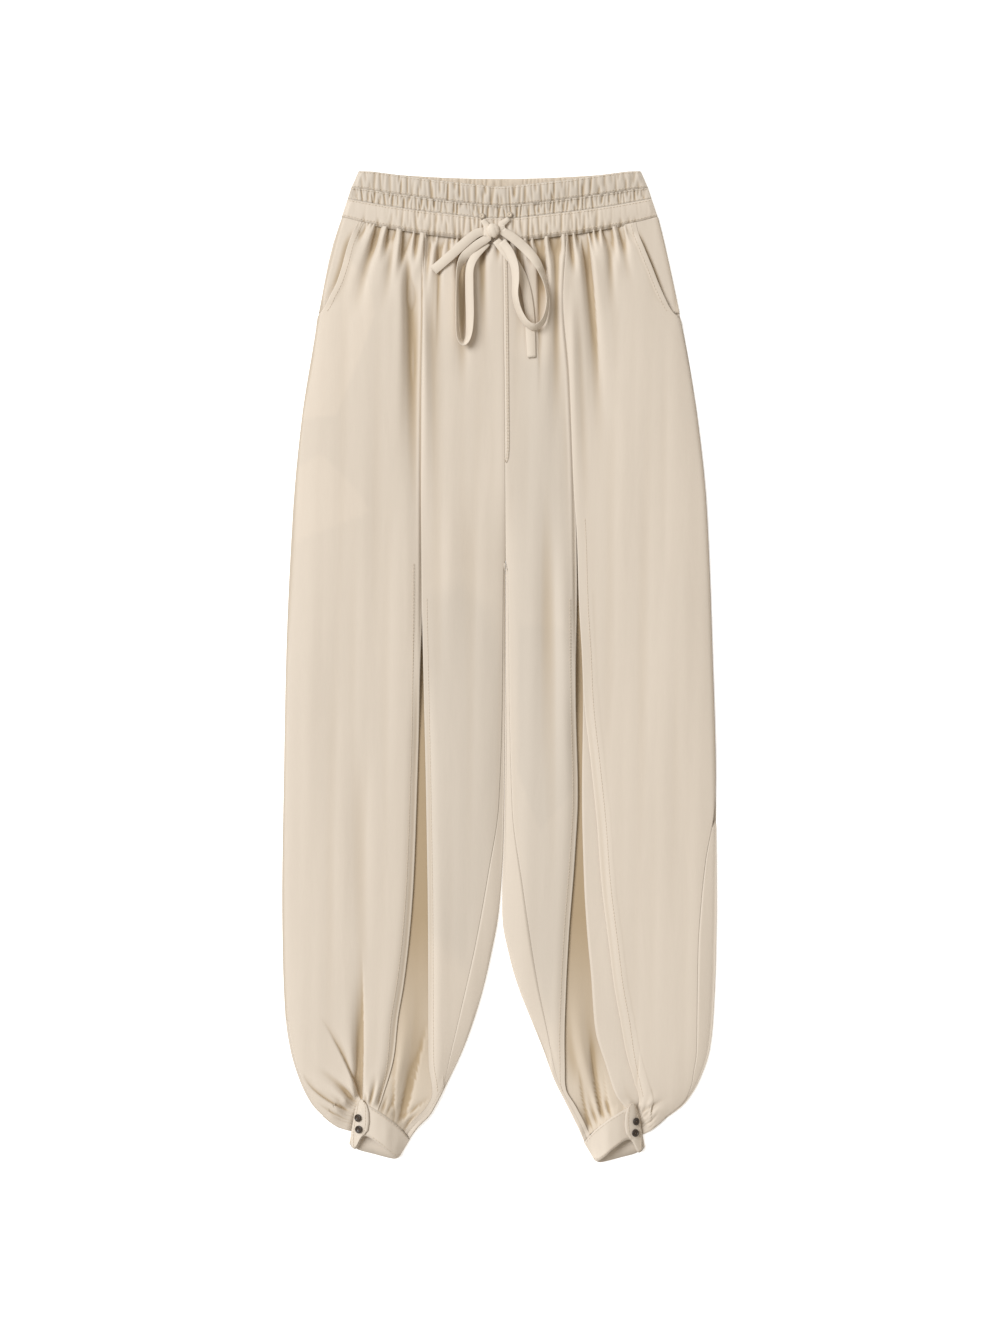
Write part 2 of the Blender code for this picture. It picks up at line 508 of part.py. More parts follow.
def crown(leg, x, down):
    """Height of the front before its folds."""
    outside = np.maximum(np.abs(leg.lines["outline"](down)), 1.0)
    outer = np.maximum(outside - np.abs(x), 0)
    inner = np.maximum(leg.sign * (x - leg.lines["inner"](down)), 0)
    apart = ease_over(down, LEGS_PART)
    leg_part = LEG_CROWN * (1 - np.exp(-outer / CROWN_REACH)) * (1 - apart * np.exp(-inner / CROWN_REACH))
    waist_part = WAIST_RISE_BELOW * (1 - np.minimum(np.abs(x) / outside, 1) ** WAIST_POWER)
    near_waist = 1 - ease_over(down, WAIST_FORM)
    return LIE + mix(leg_part, waist_part, near_waist) + ankle_rise(leg, x, down)


def ankle_rise(leg, x, down):
    across = (x - leg.ankle[0]) / ANKLE_REACH[0]
    along_leg = (down - leg.ankle[1]) / ANKLE_REACH[1]
    return ANKLE_RISE * np.exp(-(across**2) - along_leg**2)


def underlay_height(leg, x, down):
    height = UNDERLAY_TOP + UNDERLAY_RISE * ankle_rise(leg, x, down)
    for fold in leg.underlay_folds:
        height = height - fold_depth(fold, x, down) * (TROUGH_SHARE if fold.depth > 0 else RIDGE_SHARE)
    return np.maximum(height, UNDERLAY_TOP)


def front_height(leg, x, down):
    """Top of a front panel."""
    top = crown(leg, x, down) - gather_depth(x, down)
    for fold in leg.folds:
        top = top - fold_depth(fold, x, down)
    least = np.full_like(top, LIE)
    pleat = np.minimum(
        np.abs(x - leg.lines["pleat_outer"](down)), np.abs(x - leg.lines["pleat_inner"](down))
    )
    over_underlay = (down > UNDERLAY_ROWS[0] - HIDDEN_TOP) & (pleat < PLEAT_REACH)
    on_underlay = underlay_height(leg, x, down) + SEAM + CLOTH + LOOSE["front"]
    least = np.where(over_underlay, on_underlay, least)
    if "strip" in leg.lines:
        from_edge = x - leg.lines["pleat_outer"](down)
        over_strip = (from_edge > STRIP_REACH[0]) & (from_edge < STRIP_REACH[1])
        over_strip &= down > STRIP_ROWS[0] - HIDDEN_TOP
        least = np.where(over_strip, least + SEAM + THIN + LOOSE["over_strip"], least)
    from_pocket = leg.sign * (leg.lines["pocket"](down) - x)
    lap = (1 - ease_over(from_pocket, POCKET_EASE)) * (1 - ease_over(down, POCKET_FADE))
    least = np.where(lap > 0, np.maximum(least, mix(LIE, crown(leg, x, down) + POCKET_LIFT, lap)), least)
    return np.maximum(top, least)


def strip_height(leg, x, down):
    return underlay_height(leg, x, down) + SEAM + THIN + LOOSE["strip"]


def waist_height(share):
    return LIE + WAIST_RISE * (1 - np.abs(share) ** WAIST_POWER)


def cloth_top(x, down):
    """Top of whatever lies at a place on the front, for the drawstring to lie on."""
    leg = LEFT if x < LEFT.lines["inner"](down) else RIGHT
    if down < hem_down(x) + 1.5:
        return float(waist_height(x / WAIST["hem"].half_width) + WAIST_PUFF)
    placket = SEAM + THIN + PLACKET_CLEARANCE if PLACKET_SPAN[0] < x < PLACKET_SPAN[1] else 0.0
    return float(front_height(leg, np.array([x]), np.array([down]))[0]) + placket


def place(x, down, z):
    return Vector((x * MM, (LENGTH / 2 - down) * MM, z * MM))


def join_lines(bm, first, second):
    """Triangles between two lines of (share, vertex), stepping along whichever line is behind."""
    i = j = 0
    while i + 1 < len(first) or j + 1 < len(second):
        on_first = i + 1 < len(first)
        if on_first and (j + 1 == len(second) or first[i + 1][0] <= second[j + 1][0]):
            corners = (first[i][1], first[i + 1][1], second[j][1])
            i += 1
        else:
            corners = (first[i][1], second[j + 1][1], second[j][1])
            j += 1
        if len(set(corners)) == 3:
            bm.faces.new(corners)


def add_object(name, mesh, colour):
    obj = bpy.data.objects.new(name, mesh)
    bpy.data.collections["Pleated_Trousers"].objects.link(obj)
    material = bpy.data.materials.new(name)
    material.use_nodes = True
    shader = material.node_tree.nodes["Principled BSDF"]
    shader.inputs["Base Color"].default_value = colour
    shader.inputs["Roughness"].default_value = 0.35 if colour == BUTTON_COLOUR else 0.75
    shader.inputs["Metallic"].default_value = 0.0
    mesh.materials.append(material)
    return obj


def cloth_body(name, upper, under, closed=False, colour=CLOTH_COLOUR):
    """One piece of cloth between two skins. A skin is rows of (share, (x, down, z)), top to bottom."""
    bm = bmesh.new()
    skins = []
    for skin in (upper, under):
        lines = [[(share, bm.verts.new(place(*at))) for share, at in row] for row in skin]
        if closed:
            lines = [line + [(1.0, line[0][1])] for line in lines]
        skins.append(lines)
        for first, second in zip(lines, lines[1:]):
            join_lines(bm, first, second)
    for end in (0, -1):
        join_lines(bm, skins[0][end], skins[1][end])
        if not closed:
            shares = [k / (len(skins[0]) - 1) for k in range(len(skins[0]))]
            sides = [[(s, line[end][1]) for s, line in zip(shares, lines)] for lines in skins]
            join_lines(bm, *sides)
    bmesh.ops.recalc_face_normals(bm, faces=bm.faces)
    mesh = bpy.data.meshes.new(name)
    bm.to_mesh(mesh)
    bm.free()
    return add_object(name, mesh, colour)


def columns(kind, width, gathers):
    """Shares across a panel at which a row has its points."""
    if kind == "gather":
        middles = (gathers[1:] + gathers[:-1]) / 2
        quarters = np.concatenate([(gathers[1:] + middles) / 2, (gathers[:-1] + middles) / 2])
        return np.unique(np.concatenate([[0, 1], gathers, middles, quarters]).round(5))
    if kind == "half":
        middles = (gathers[1:] + gathers[:-1]) / 2
        return np.unique(np.concatenate([[0, 1], gathers, middles]).round(5))
    return np.linspace(0, 1, max(3, int(width / SPACING[kind]) + 2))


def panel_rows(leg, outer, inner, rows, height, wall=CLOTH, inset=(0.0, 0.0)):
    """The two skins of a panel between two edges of a leg. inset moves each side edge inwards, and
    a negative one laps it under the next panel, by less where the leg narrows to the cuff."""
    start, end = leg.ends[outer], leg.ends[inner]
    top_outer, top_inner = leg.point(outer, FIRST_ROW), leg.point(inner, FIRST_ROW)
    at = np.array([gather.x for gather in GATHERS])
    gathers = np.sort((at - top_outer[0]) / (top_inner[0] - top_outer[0]))
    gathers = gathers[(gathers > 0.015) & (gathers < 0.985)]
    upper, under = [], []
    for row, kind in rows:
        first, last = np.array(leg.point(outer, row)), np.array(leg.point(inner, row))
        away = np.array([leg.sign, 0.0])
        narrow = 1 - LAP_LOST * float(ease_over(row, LAP_ENDS))
        first = first - away * inset[0] * (narrow if inset[0] < 0 else 1)
        last = last + away * inset[1] * (narrow if inset[1] < 0 else 1)
        shares = columns(kind, abs(last[0] - first[0]), gathers)
        places = mix(first, last, shares[:, None])
        bend = bend_share(row)
        if bend:
            low = along(leg.front_edge, mix(start, end, shares))
            places = places + bend * (low - mix(low[0], low[-1], shares[:, None]))
        dip = waist_share(row)
        if dip:
            places[:, 1] = row + (hem_down(places[:, 0]) + SEAM - FIRST_ROW) * dip
        x, down = places.T
        top = height(leg, x, down)
        upper.append([(s, (a, b, c)) for s, a, b, c in zip(shares, x, down, top)])
        under.append([(s, (a, b, c - wall)) for s, a, b, c in zip(shares, x, down, top)])
    return upper, under


def make_front(leg):
    half = SEAM / 2
    for name, outer, inner, inset in (
        ("front_outer", "pocket", "pleat_outer", (half, 0.0)),
        ("front_inner", "pleat_inner", "inseam", (0.0, half)),
    ):
        rows = panel_rows(leg, outer, inner, ROWS, front_height, inset=inset)
        cloth_body(f"{name}_{leg.side}", *rows)


def make_underlay(leg):
    """Cloth at the bottom of the pleat, which laps under both front panels."""
    rows = [(row, "fold" if row > 880 else "leg") for row in UNDERLAY_ROWS]
    skins = panel_rows(leg, "pleat_outer", "pleat_inner", rows, underlay_height, THIN, (-LAP, -LAP))
    cloth_body(f"pleat_underlay_{leg.side}", *skins, colour=INSIDE_COLOUR)


def make_strip(leg):
    """Facing under the edge of the right leg's outer panel."""
    rows = [(row, "fold") for row in STRIP_ROWS]
    skins = panel_rows(leg, "pleat_outer", "strip", rows, strip_height, THIN, (-STRIP_LAP, 0.0))
    cloth_body("facing_strip_right", *skins)


def make_side_piece(leg):
    """Side piece that the slant pocket opens over."""
    upper, under = [], []
    for share in np.linspace(0, 1, 7):
        at = mix(POCKET_TOP, POCKET_END, share)
        outer = leg.lines["outline"](at)
        inner = leg.lines["pocket"](at) - leg.sign * POCKET_LAP
        shares = np.linspace(0, 1, 5)
        x = mix(outer, inner, shares)
        level = hem_down(x) + SEAM if share == 0 else np.maximum(at, hem_down(x) + SEAM + 3 * share)
        top = crown(leg, x, level)
        upper.append([(s, (a, b, c)) for s, a, b, c in zip(shares, x, level, top)])
        under.append([(s, (a, b, c - CLOTH)) for s, a, b, c in zip(shares, x, level, top)])
    cloth_body(f"pocket_side_{leg.side}", upper, under)


def back_edge(leg, edge, seam, row, wraps, shares):
    """Outer and inner skin past one edge of a back panel: round to a seam on the front, or cut off."""
    edge_x, down = leg.point(edge, row)
    way = leg.sign if edge == "inner" else -leg.sign
    if wraps:
        seam_x, seam_down = leg.point(seam, row)
        run = np.linspace(0, 1, 4)
        x = mix(edge_x + way * CLOTH, seam_x - way * SEAM / 2, run)
        level = mix(down, seam_down, run)
        top = crown(leg, x, level)
        turn = ((0.35, 0.45), (0.0, LIE / 2), (0.35, LIE - 0.45))
        outer = [(edge_x + way * across, down, z) for across, z in turn] + list(zip(x, level, top))
        inner = [(edge_x + way * 1.15, down, LIE / 2)] + list(zip(x, level, top - CLOTH))
    else:
        outer = [(edge_x, down, z) for z in (0.0, CLOTH / 2, CLOTH)]
        inner = [(edge_x + way * 0.4, down, CLOTH - 0.1)]
    return [list(zip(np.linspace(*shares, len(skin)), skin)) for skin in (outer, inner)]


def make_back(leg):
    """Back panel, flat on the table, with the strips that come round to the front."""
    outer_skin, inner_skin = [], []
    right = leg.side == "right"
    for row in BACK_ROWS:
        (outer_x, outer_down), (inner_x, inner_down) = leg.point("outline", row), leg.point("inner", row)
        shares = np.linspace(0, 1, 9)
        x = mix(outer_x - leg.sign * CLOTH * right, inner_x + leg.sign * CLOTH, shares)
        down = mix(outer_down, inner_down, shares)
        if row == FIRST_ROW:
            down = back_waist_down("hem", x) + SEAM
        bend = bend_share(row)
        if bend:
            low = along(leg.back_edge, shares)
            bent = bend * (low - mix(low[0], low[-1], shares[:, None]))
            x, down = x + bent[:, 0], down + bent[:, 1]
        middle = list(0.2 + 0.6 * shares)
        outer = list(zip(middle, zip(x, down, [0.0] * len(x))))
        inner = list(zip(middle, zip(x, down, [CLOTH] * len(x))))
        past = back_edge(leg, "inner", "inseam", row, row > CROTCH, (0.83, 1.0))
        outer, inner = outer + past[0], inner + past[1]
        if right:
            wraps = SIDE_WRAP[0] < row < SIDE_WRAP[1]
            past = back_edge(leg, "outline", "pocket", row, wraps, (0.17, 0.0))
            outer, inner = past[0][::-1] + outer, past[1][::-1] + inner
        outer_skin.append(outer)
        inner_skin.append(inner)
    cloth_body(f"back_{leg.side}", inner_skin, outer_skin)


def back_waist_down(line, x):
    line = WAIST[line]
    share = np.minimum(np.abs(x) / line.half_width, 1)
    return line.side + line.back_dip * (1 - share**2)


def gather_shares(count):
    """Shares from -1 to 1 of each gather's trough and the ridge after it, a little uneven."""
    k = np.arange(2 * count + 1)
    uneven = 0.55 * np.sin(1.7 * k) * (k > 0) * (k < 2 * count)
    return -1 + (k + 0.45 * uneven) / count, k % 2 == 1


def make_waist_front(piece):
    """One channel of the waistband's front: gathers on its face over a plain inside."""
    upper_line, lower_line = WAIST[piece.upper], WAIST[piece.lower]
    shares, is_trough = gather_shares(piece.gathers)
    from_bow = np.abs(shares * upper_line.half_width - EYELET_MIDDLE)
    calm = ease_over(from_bow, CALM) if piece.name != "waist_rim" else 1.0
    upper, under = [], []
    for across in (0.0, 0.3, 0.7, 1.0):
        half = mix(upper_line.half_width, lower_line.half_width, across)
        at_seam = across in (0.0, 1.0)
        gap = SEAM / 2 * (1 if across < 0.5 else -1) * at_seam
        depth = piece.depth * (SEAM_GATHER if at_seam else 1.0)

        def downs(x):
            share = x / half
            first = np.interp(np.abs(share), WAIST_SHARES, upper_line.down)
            return mix(first, np.interp(np.abs(share), WAIST_SHARES, lower_line.down), across) + gap

        puff = piece.puff * math.sin(math.pi * across)
        x = shares * half
        edge = np.clip((1 - np.abs(shares)) / FLAT_END, 0, 1)
        top = waist_height(shares) + edge * (puff - is_trough * depth * calm)
        top = np.maximum(top, LIE)
        t = (shares + 1) / 2
        upper.append([(s, (a, b, c)) for s, a, b, c in zip(t, x, downs(x), top)])
        plain = np.array([-share for share in WAIST_SHARES[:0:-1]] + list(WAIST_SHARES))
        plain = np.sort(np.concatenate([plain, (plain[1:] + plain[:-1]) / 2]))
        low = waist_height(plain) - CLOTH - np.clip((1 - np.abs(plain)) / FLAT_END, 0, 1) * piece.depth
        low = np.maximum(low, CLOTH + SEAM)
        x = plain * half
        under.append([(s, (a, b, c)) for s, a, b, c in zip((plain + 1) / 2, x, downs(x), low)])
    cloth_body(f"{piece.name}_front", upper, under)


def make_waist_back(piece):
    """The same channel across the back, flat on the table."""
    upper_line, lower_line = WAIST[piece.upper], WAIST[piece.lower]
    shares = np.linspace(-1, 1, 17)
    skins = [[], []]
    for across in (0.0, 0.5, 1.0):
        half = mix(upper_line.half_width, lower_line.half_width, across)
        gap = SEAM / 2 * (1 if across < 0.5 else -1) * (across != 0.5)
        x = shares * half
        down = mix(
            upper_line.side + upper_line.back_dip * (1 - shares**2),
            lower_line.side + lower_line.back_dip * (1 - shares**2),
            across,
        ) + gap
        for skin, z in zip(skins, (CLOTH, 0.0)):
            skin.append([((s + 1) / 2, (a, b, z)) for s, a, b in zip(shares, x, down)])
    cloth_body(f"{piece.name}_back", *skins, colour=INSIDE_COLOUR)


def cuff_places(leg, section, across, inside=False):
    """Points of the cuff's outer or inner face, at a place in the table of sections."""
    rows = np.array(CUFF, float)
    at = np.atleast_1d(np.asarray(section, float))
    k = np.floor(at).astype(int)
    t = (at - k)[:, None]
    before, here, after, beyond = (rows[(k + step) % len(rows)] for step in (-1, 0, 1, 2))
    row = 0.5 * (
        2 * here + (after - before) * t + (2 * before - 5 * here + 4 * after - beyond) * t**2
        + (3 * here - before - 3 * after + beyond) * t**3
    )
    x, down = mix(row[:, 0], row[:, 2], across), mix(row[:, 1], row[:, 3], across)
    z = np.maximum(row[:, 4], 0.0)
    if inside:
        x, z = x + row[:, 5], z + row[:, 6]
        z = np.maximum(z, CLOTH)
    if leg.sign > 0:
        x, down = -x + CUFF_SHIFT[0], down + CUFF_SHIFT[1]
    return np.stack([x, down, z], axis=-1)


def make_cuff(leg):
    sections = np.arange(0, len(CUFF), 1 / CUFF_STEPS)
    skins = []
    for inside in (False, True):
        skin = []
        for across in CUFF_ROWS:
            places = cuff_places(leg, sections, across, inside)
            skin.append([(s / len(CUFF), tuple(at)) for s, at in zip(sections, places)])
        skins.append(skin)
    cloth_body(f"cuff_{leg.side}", *skins, closed=True)


def cuff_normal(leg, section, across):
    """Unit vector out of the cuff's face, in table coordinates."""
    step = 0.04
    round_cuff = (cuff_places(leg, section + step, across) - cuff_places(leg, section - step, across))[0]
    over_cuff = (cuff_places(leg, section, across + step) - cuff_places(leg, section, across - step))[0]
    normal = np.cross(round_cuff, over_cuff)
    normal *= math.copysign(1.0, normal[2])
    return normal / np.linalg.norm(normal)


def make_tab(leg):
    """Pointed end of the cuff, which laps over it and carries the buttons."""
    skins = [[], []]
    for row in TAB:
        shares = np.linspace(0, 1, TAB_COLUMNS)
        for skin, lift in zip(skins, (TAB_LIFT + CLOTH, TAB_LIFT)):
            line = []
            for share in shares:
                section = mix(row.first, row.last, share)
                at = cuff_places(leg, section, row.across)[0] + lift * cuff_normal(leg, section, row.across)
                line.append((share, tuple(at)))
            skin.append(line)
    cloth_body(f"cuff_tab_{leg.side}", *skins)


def make_buttons(leg):
    """Two round buttons on the tab, each turned from one profile."""
    for name, (across, section) in BUTTONS.items():
        normal = cuff_normal(leg, section, across)
        foot = cuff_places(leg, section, across)[0] + (TAB_LIFT + CLOTH + BUTTON_CLEARANCE) * normal
        mesh = bpy.data.meshes.new("button")
        points = [(radius * MM, 0.0, z * MM) for radius, z in BUTTON_PROFILE]
        mesh.from_pydata(points, [(k, k + 1) for k in range(len(points) - 1)], [])
        obj = add_object(f"button_{leg.side}_{name}", mesh, BUTTON_COLOUR)
        turn = obj.modifiers.new("turn", "SCREW")
        turn.steps = turn.render_steps = BUTTON_STEPS
        turn.use_merge_vertices = True
        turn.merge_threshold = 0.00001
        turn.use_normal_calculate = True
        out = Vector((normal[0], -normal[1], normal[2]))
        obj.location = place(*foot)
        obj.rotation_mode = "QUATERNION"
        obj.rotation_quaternion = out.to_track_quat("Z", "Y")


def make_placket():
    """Mock fly: a stitched strip beside the centre seam."""
    upper, under = [], []
    for row, right in PLACKET:
        left = RIGHT.lines["inner"](row) + PLACKET_INSET
        shares = np.linspace(0, 1, 4)
        x = mix(left, float(right), shares)
        down = np.full_like(x, row)
        top = front_height(RIGHT, x, down).max() + THIN + PLACKET_GAP
        upper.append([(s, (a, row, top)) for s, a in zip(shares, x)])
        under.append([(s, (a, row, top - THIN)) for s, a in zip(shares, x)])
    cloth_body("fly_placket", upper, under)


def tape_line(points):
    """Even steps along a smooth curve through a tape's points: one row of numbers for each step."""
    rows = np.array(points, float)
    reach = np.concatenate([[0], np.cumsum(np.hypot(*np.diff(rows[:, :2], axis=0).T))])
    count = max(4, int(reach[-1] / TAPE_STEP))
    where = np.linspace(0, reach[-1], count + 1)
    ends = np.vstack([2 * rows[0] - rows[1], rows, 2 * rows[-1] - rows[-2]])
    k = np.clip(np.searchsorted(reach, where, side="right") - 1, 0, len(rows) - 2)
    t = ((where - reach[k]) / (reach[k + 1] - reach[k]))[:, None]
    before, here, after, beyond = (ends[k + step] for step in range(4))
    return 0.5 * (
        2 * here + (after - before) * t + (2 * before - 5 * here + 4 * after - beyond) * t**2
        + (3 * here - before - 3 * after + beyond) * t**3
    )


def tape_heights(line):
    """Height of the tape's middle: it rests on the highest cloth under its width."""
    run = np.gradient(line[:, :2], axis=0)
    run /= np.hypot(*run.T)[:, None]
    heights = []
    for (x, down, lift, turn, width), (run_x, run_down) in zip(line, run):
        turn = math.radians(turn)
        flat = width / 2 * math.cos(turn)
        under = []
        for side, ahead in product((-1, -0.5, 0, 0.5, 1), (-TAPE_STEP / 2, 0, TAPE_STEP / 2)):
            across = side * flat
            at = (x - run_down * across + run_x * ahead, down + run_x * across + run_down * ahead)
            under.append(cloth_top(*at))
        half = width / 2 * math.sin(turn) + THIN / 2 * math.cos(turn)
        heights.append(max(under) + TAPE_CLEARANCE + half + lift)
    heights = np.array(heights)
    padded = np.concatenate([heights[:1], heights, heights[-1:]])
    return np.maximum(heights, (padded[:-2] + padded[1:-1] + padded[2:]) / 3)


def make_tape(name, points):
    """A stretch of the flat drawstring: a strip with a wall."""
    line = tape_line(points)
    heights = tape_heights(line)
    run = np.gradient(line[:, :2], axis=0)
    run /= np.hypot(*run.T)[:, None]
    bm = bmesh.new()
    edges = []
    for (x, down, _, turn, width), z, (run_x, run_down) in zip(line, heights, run):
        turn = math.radians(turn)
        flat, up = width / 2 * math.cos(turn), width / 2 * math.sin(turn)
        edges.append([
            bm.verts.new(place(x + side * -run_down * flat, down + side * run_x * flat, z + side * up))
            for side in (-1, 1)
        ])
    for first, second in zip(edges, edges[1:]):
        bm.faces.new((first[0], first[1], second[1], second[0]))
    mesh = bpy.data.meshes.new(name)
    bm.to_mesh(mesh)
    bm.free()
    obj = add_object(name, mesh, CLOTH_COLOUR)
    wall = obj.modifiers.new("wall", "SOLIDIFY")
    wall.thickness = THIN * MM
    wall.offset = 0.0


def make_knot():
    """The bow's knot: a small rounded lump over the lower band."""
    bm = bmesh.new()
    bmesh.ops.create_uvsphere(bm, u_segments=14, v_segments=8, radius=1.0)
    z = cloth_top(*KNOT) + TAPE_CLEARANCE + KNOT_RADII[2]
    bmesh.ops.scale(bm, vec=[radius * MM for radius in KNOT_RADII], verts=bm.verts)
    bmesh.ops.translate(bm, vec=place(KNOT[0], KNOT[1], z), verts=bm.verts)
    mesh = bpy.data.meshes.new("drawstring_knot")
    bm.to_mesh(mesh)
    bm.free()
    add_object("drawstring_knot", mesh, CLOTH_COLOUR)


def make_eyelets():
    for side, (x, down) in EYELETS.items():
        z = float(waist_height(x / WAIST["casing"].half_width)) + WAIST_PUFF
        bpy.ops.mesh.primitive_torus_add(
            major_radius=EYELET_RADII[0] * MM, minor_radius=EYELET_RADII[1] * MM,
            major_segments=16, minor_segments=6,
            location=place(x, down, z),
        )
        obj = bpy.context.object
        mesh = obj.data
        place_at = obj.matrix_world.copy()
        bpy.data.objects.remove(obj)
        add_object(f"eyelet_{side}", mesh, BUTTON_COLOUR).matrix_world = place_at


def main():
    for obj in list(bpy.data.objects):
        bpy.data.objects.remove(obj, do_unlink=True)
    collection = bpy.data.collections.new("Pleated_Trousers")
    bpy.context.scene.collection.children.link(collection)
    for piece in WAIST_PIECES:
        make_waist_front(piece)
        make_waist_back(piece)
    for leg in (LEFT, RIGHT):
        make_back(leg)
        make_front(leg)
        make_underlay(leg)
        make_side_piece(leg)
        make_cuff(leg)
        make_tab(leg)
        make_buttons(leg)
    make_strip(RIGHT)
    make_placket()
    make_eyelets()
    make_knot()
    for name, points in TAPES.items():
        make_tape(name, points)


main()
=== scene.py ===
"""Pleated balloon trousers, laid flat on a pale table and seen from above.

Every piece of cloth is a thin shell on its solid's form, with the finer gathers and creases laid on it.
Sizes in the tables are millimetres: x runs across from the middle, down runs from the waistband's top
corners towards the cuffs, and heights are above the table. Left and right are as seen from above.
"""

import math
from collections import namedtuple

import bmesh
import bpy
import numpy as np
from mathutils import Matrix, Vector


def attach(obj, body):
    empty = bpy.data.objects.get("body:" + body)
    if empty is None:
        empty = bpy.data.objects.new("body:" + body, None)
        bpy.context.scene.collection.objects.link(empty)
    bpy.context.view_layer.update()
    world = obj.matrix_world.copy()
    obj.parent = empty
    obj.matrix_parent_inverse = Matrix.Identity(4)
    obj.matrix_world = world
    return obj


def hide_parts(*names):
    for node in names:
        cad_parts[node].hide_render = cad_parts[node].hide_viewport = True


bl_info = {
    "name": "Pleated Trousers",
    "version": (1, 0, 0),
    "blender": (4, 5, 0),
    "location": "View3D > Sidebar > Trousers",
    "description": "Lays a pair of pleated balloon trousers flat, piece by piece",
    "category": "Object",
}

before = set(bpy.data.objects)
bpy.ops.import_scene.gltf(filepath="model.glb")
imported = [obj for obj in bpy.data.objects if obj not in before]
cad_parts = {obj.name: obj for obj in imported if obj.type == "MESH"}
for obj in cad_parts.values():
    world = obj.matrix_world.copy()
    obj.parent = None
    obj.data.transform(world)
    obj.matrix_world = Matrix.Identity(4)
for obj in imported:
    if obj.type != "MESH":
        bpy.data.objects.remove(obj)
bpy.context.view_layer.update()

MM = 0.001
LENGTH = 993.2
CLOTH = 1.2
THIN = 1.0
SEAM = 0.3
LIE = CLOTH + SEAM + CLOTH
UNDERLAY_TOP = CLOTH + SEAM + THIN
LEG_CROWN = 3.2
CROWN_REACH = 14.0
WAIST_RISE = 8.0
WAIST_POWER = 2.2
CROTCH = 390.0
STRAIGHT_ABOVE = 850.0
FIRST_ROW = 70.0
LAST_ROW = 966.0
CUFF_BEND = (895.0, LAST_ROW)
SIDE_WRAP = (655.0, 950.0)
LEAST_WRAP = 2.6
CUFF_SHIFT = (-5.0, 3.5)
EYELETS = {"left": (-17.5, 47.0), "right": (10.0, 45.7)}
KNOT = (-6.5, 62.0)
KNOT_RADII = (7.0, 7.5, 3.4)
TAPE_CLEARANCE = 0.6
SHELL = 0.6
STITCH_LIFT = 0.12

WaistLine = namedtuple("WaistLine", "half_width back_dip side down")
WAIST_SHARES = (0.0, 0.12, 0.3, 0.5, 0.75, 0.9, 1.0)
WAIST = {
    "rim": WaistLine(141.0, 7.7, 0.3, (17.6, 16.0, 13.2, 9.8, 4.2, 1.2, 0.3)),
    "casing": WaistLine(148.5, 9.0, 17.3, (36.5, 35.3, 32.5, 28.4, 23.0, 19.0, 17.3)),
    "band": WaistLine(152.0, 10.5, 28.0, (48.5, 48.3, 45.0, 41.3, 35.5, 31.0, 28.0)),
    "hem": WaistLine(158.0, 11.0, 46.0, (69.5, 69.5, 66.3, 62.3, 55.3, 50.5, 46.0)),
}
WaistPiece = namedtuple("WaistPiece", "name upper lower wrinkles depth width puff seed smooth_ends")
WAIST_PIECES = (
    WaistPiece("waist_rim", "rim", "casing", 78, 1.5, 1.4, 1.0, 3, 0.3),
    WaistPiece("waist_casing", "casing", "band", 104, 1.6, 0.95, -0.9, 5, 0.1),
    WaistPiece("waist_band", "band", "hem", 84, 1.1, 1.3, 1.0, 8, 0.85),
)

OUTLINE_LEFT = (
    (46, -157.5), (70, -164.5), (130, -178.5), (190, -188.5), (250, -198.0), (340, -206.5),
    (490, -213.5), (610, -215.8), (730, -217.5), (790, -216.7), (850, -214.0), (880, -209.5),
    (910, -200.5), (934, -188.5), (946, -177.5), (958, -161.5),
)
OUTLINE_RIGHT = (
    (46, 158.5), (70, 164.5), (130, 177.5), (190, 189.5), (250, 198.5), (340, 207.5),
    (490, 213.5), (610, 216.5), (730, 217.5), (790, 216.7), (850, 214.0), (880, 210.5),
    (910, 200.5), (934, 185.5), (946, 170.5), (960, 153.0),
)
INNER_LEFT = (
    (70, 3.5), (290, 5.5), (388, 5.95), (470, 6.0), (610, 5.0), (670, 4.0), (710, 2.0),
    (745, -1.0), (790, -9.5), (820, -16.5), (850, -25.5), (880, -36.5), (910, -50.5),
    (934, -62.5), (946, -69.5), (958, -81.5),
)
INNER_RIGHT = (
    (70, 3.8), (290, 5.8), (388, 6.25), (470, 6.3), (610, 5.3), (670, 4.3), (710, 2.9),
    (745, 2.5), (790, 10.5), (820, 19.5), (850, 31.5), (880, 43.5), (910, 54.5), (934, 66.5),
    (946, 72.5), (958, 78.5),
)
INSEAM_LEFT = (
    (70, 3.65), (290, 5.65), (388, 6.1), (402, 4.2), (530, 3.0), (633, -0.5), (705, -11.5),
    (774, -24.0), (830, -36.5), (886, -49.5), (918, -57.0), (942, -69.5), (958, -84.5),
)
INSEAM_RIGHT = (
    (70, 3.65), (290, 5.65), (388, 6.1), (402, 8.4), (530, 10.0), (639, 13.0), (717, 23.5),
    (811, 38.0), (858, 47.5), (905, 57.0), (934, 69.0), (946, 75.5), (958, 81.5),
)
SIDE_SEAM_RIGHT = (
    (640, 215.0), (692, 206.0), (740, 201.0), (780, 198.5), (842, 197.5), (880, 197.0),
    (910, 192.0), (934, 181.0), (946, 167.0), (960, 150.0),
)
PLEAT_OUTER_LEFT = (
    (70, -74.6), (130, -77.1), (232, -79.1), (390, -79.0), (530, -80.0), (624, -82.5),
    (710, -85.8), (761, -89.5), (813, -95.5), (849, -101.5), (886, -105.5), (931, -118.5),
)
PLEAT_INNER_LEFT = (
    (70, -74.0), (130, -76.5), (232, -78.5), (390, -78.0), (530, -75.5), (624, -73.5),
    (761, -71.5), (886, -71.0), (915, -69.5), (930, -69.0), (942, -74.0), (958, -89.0),
)
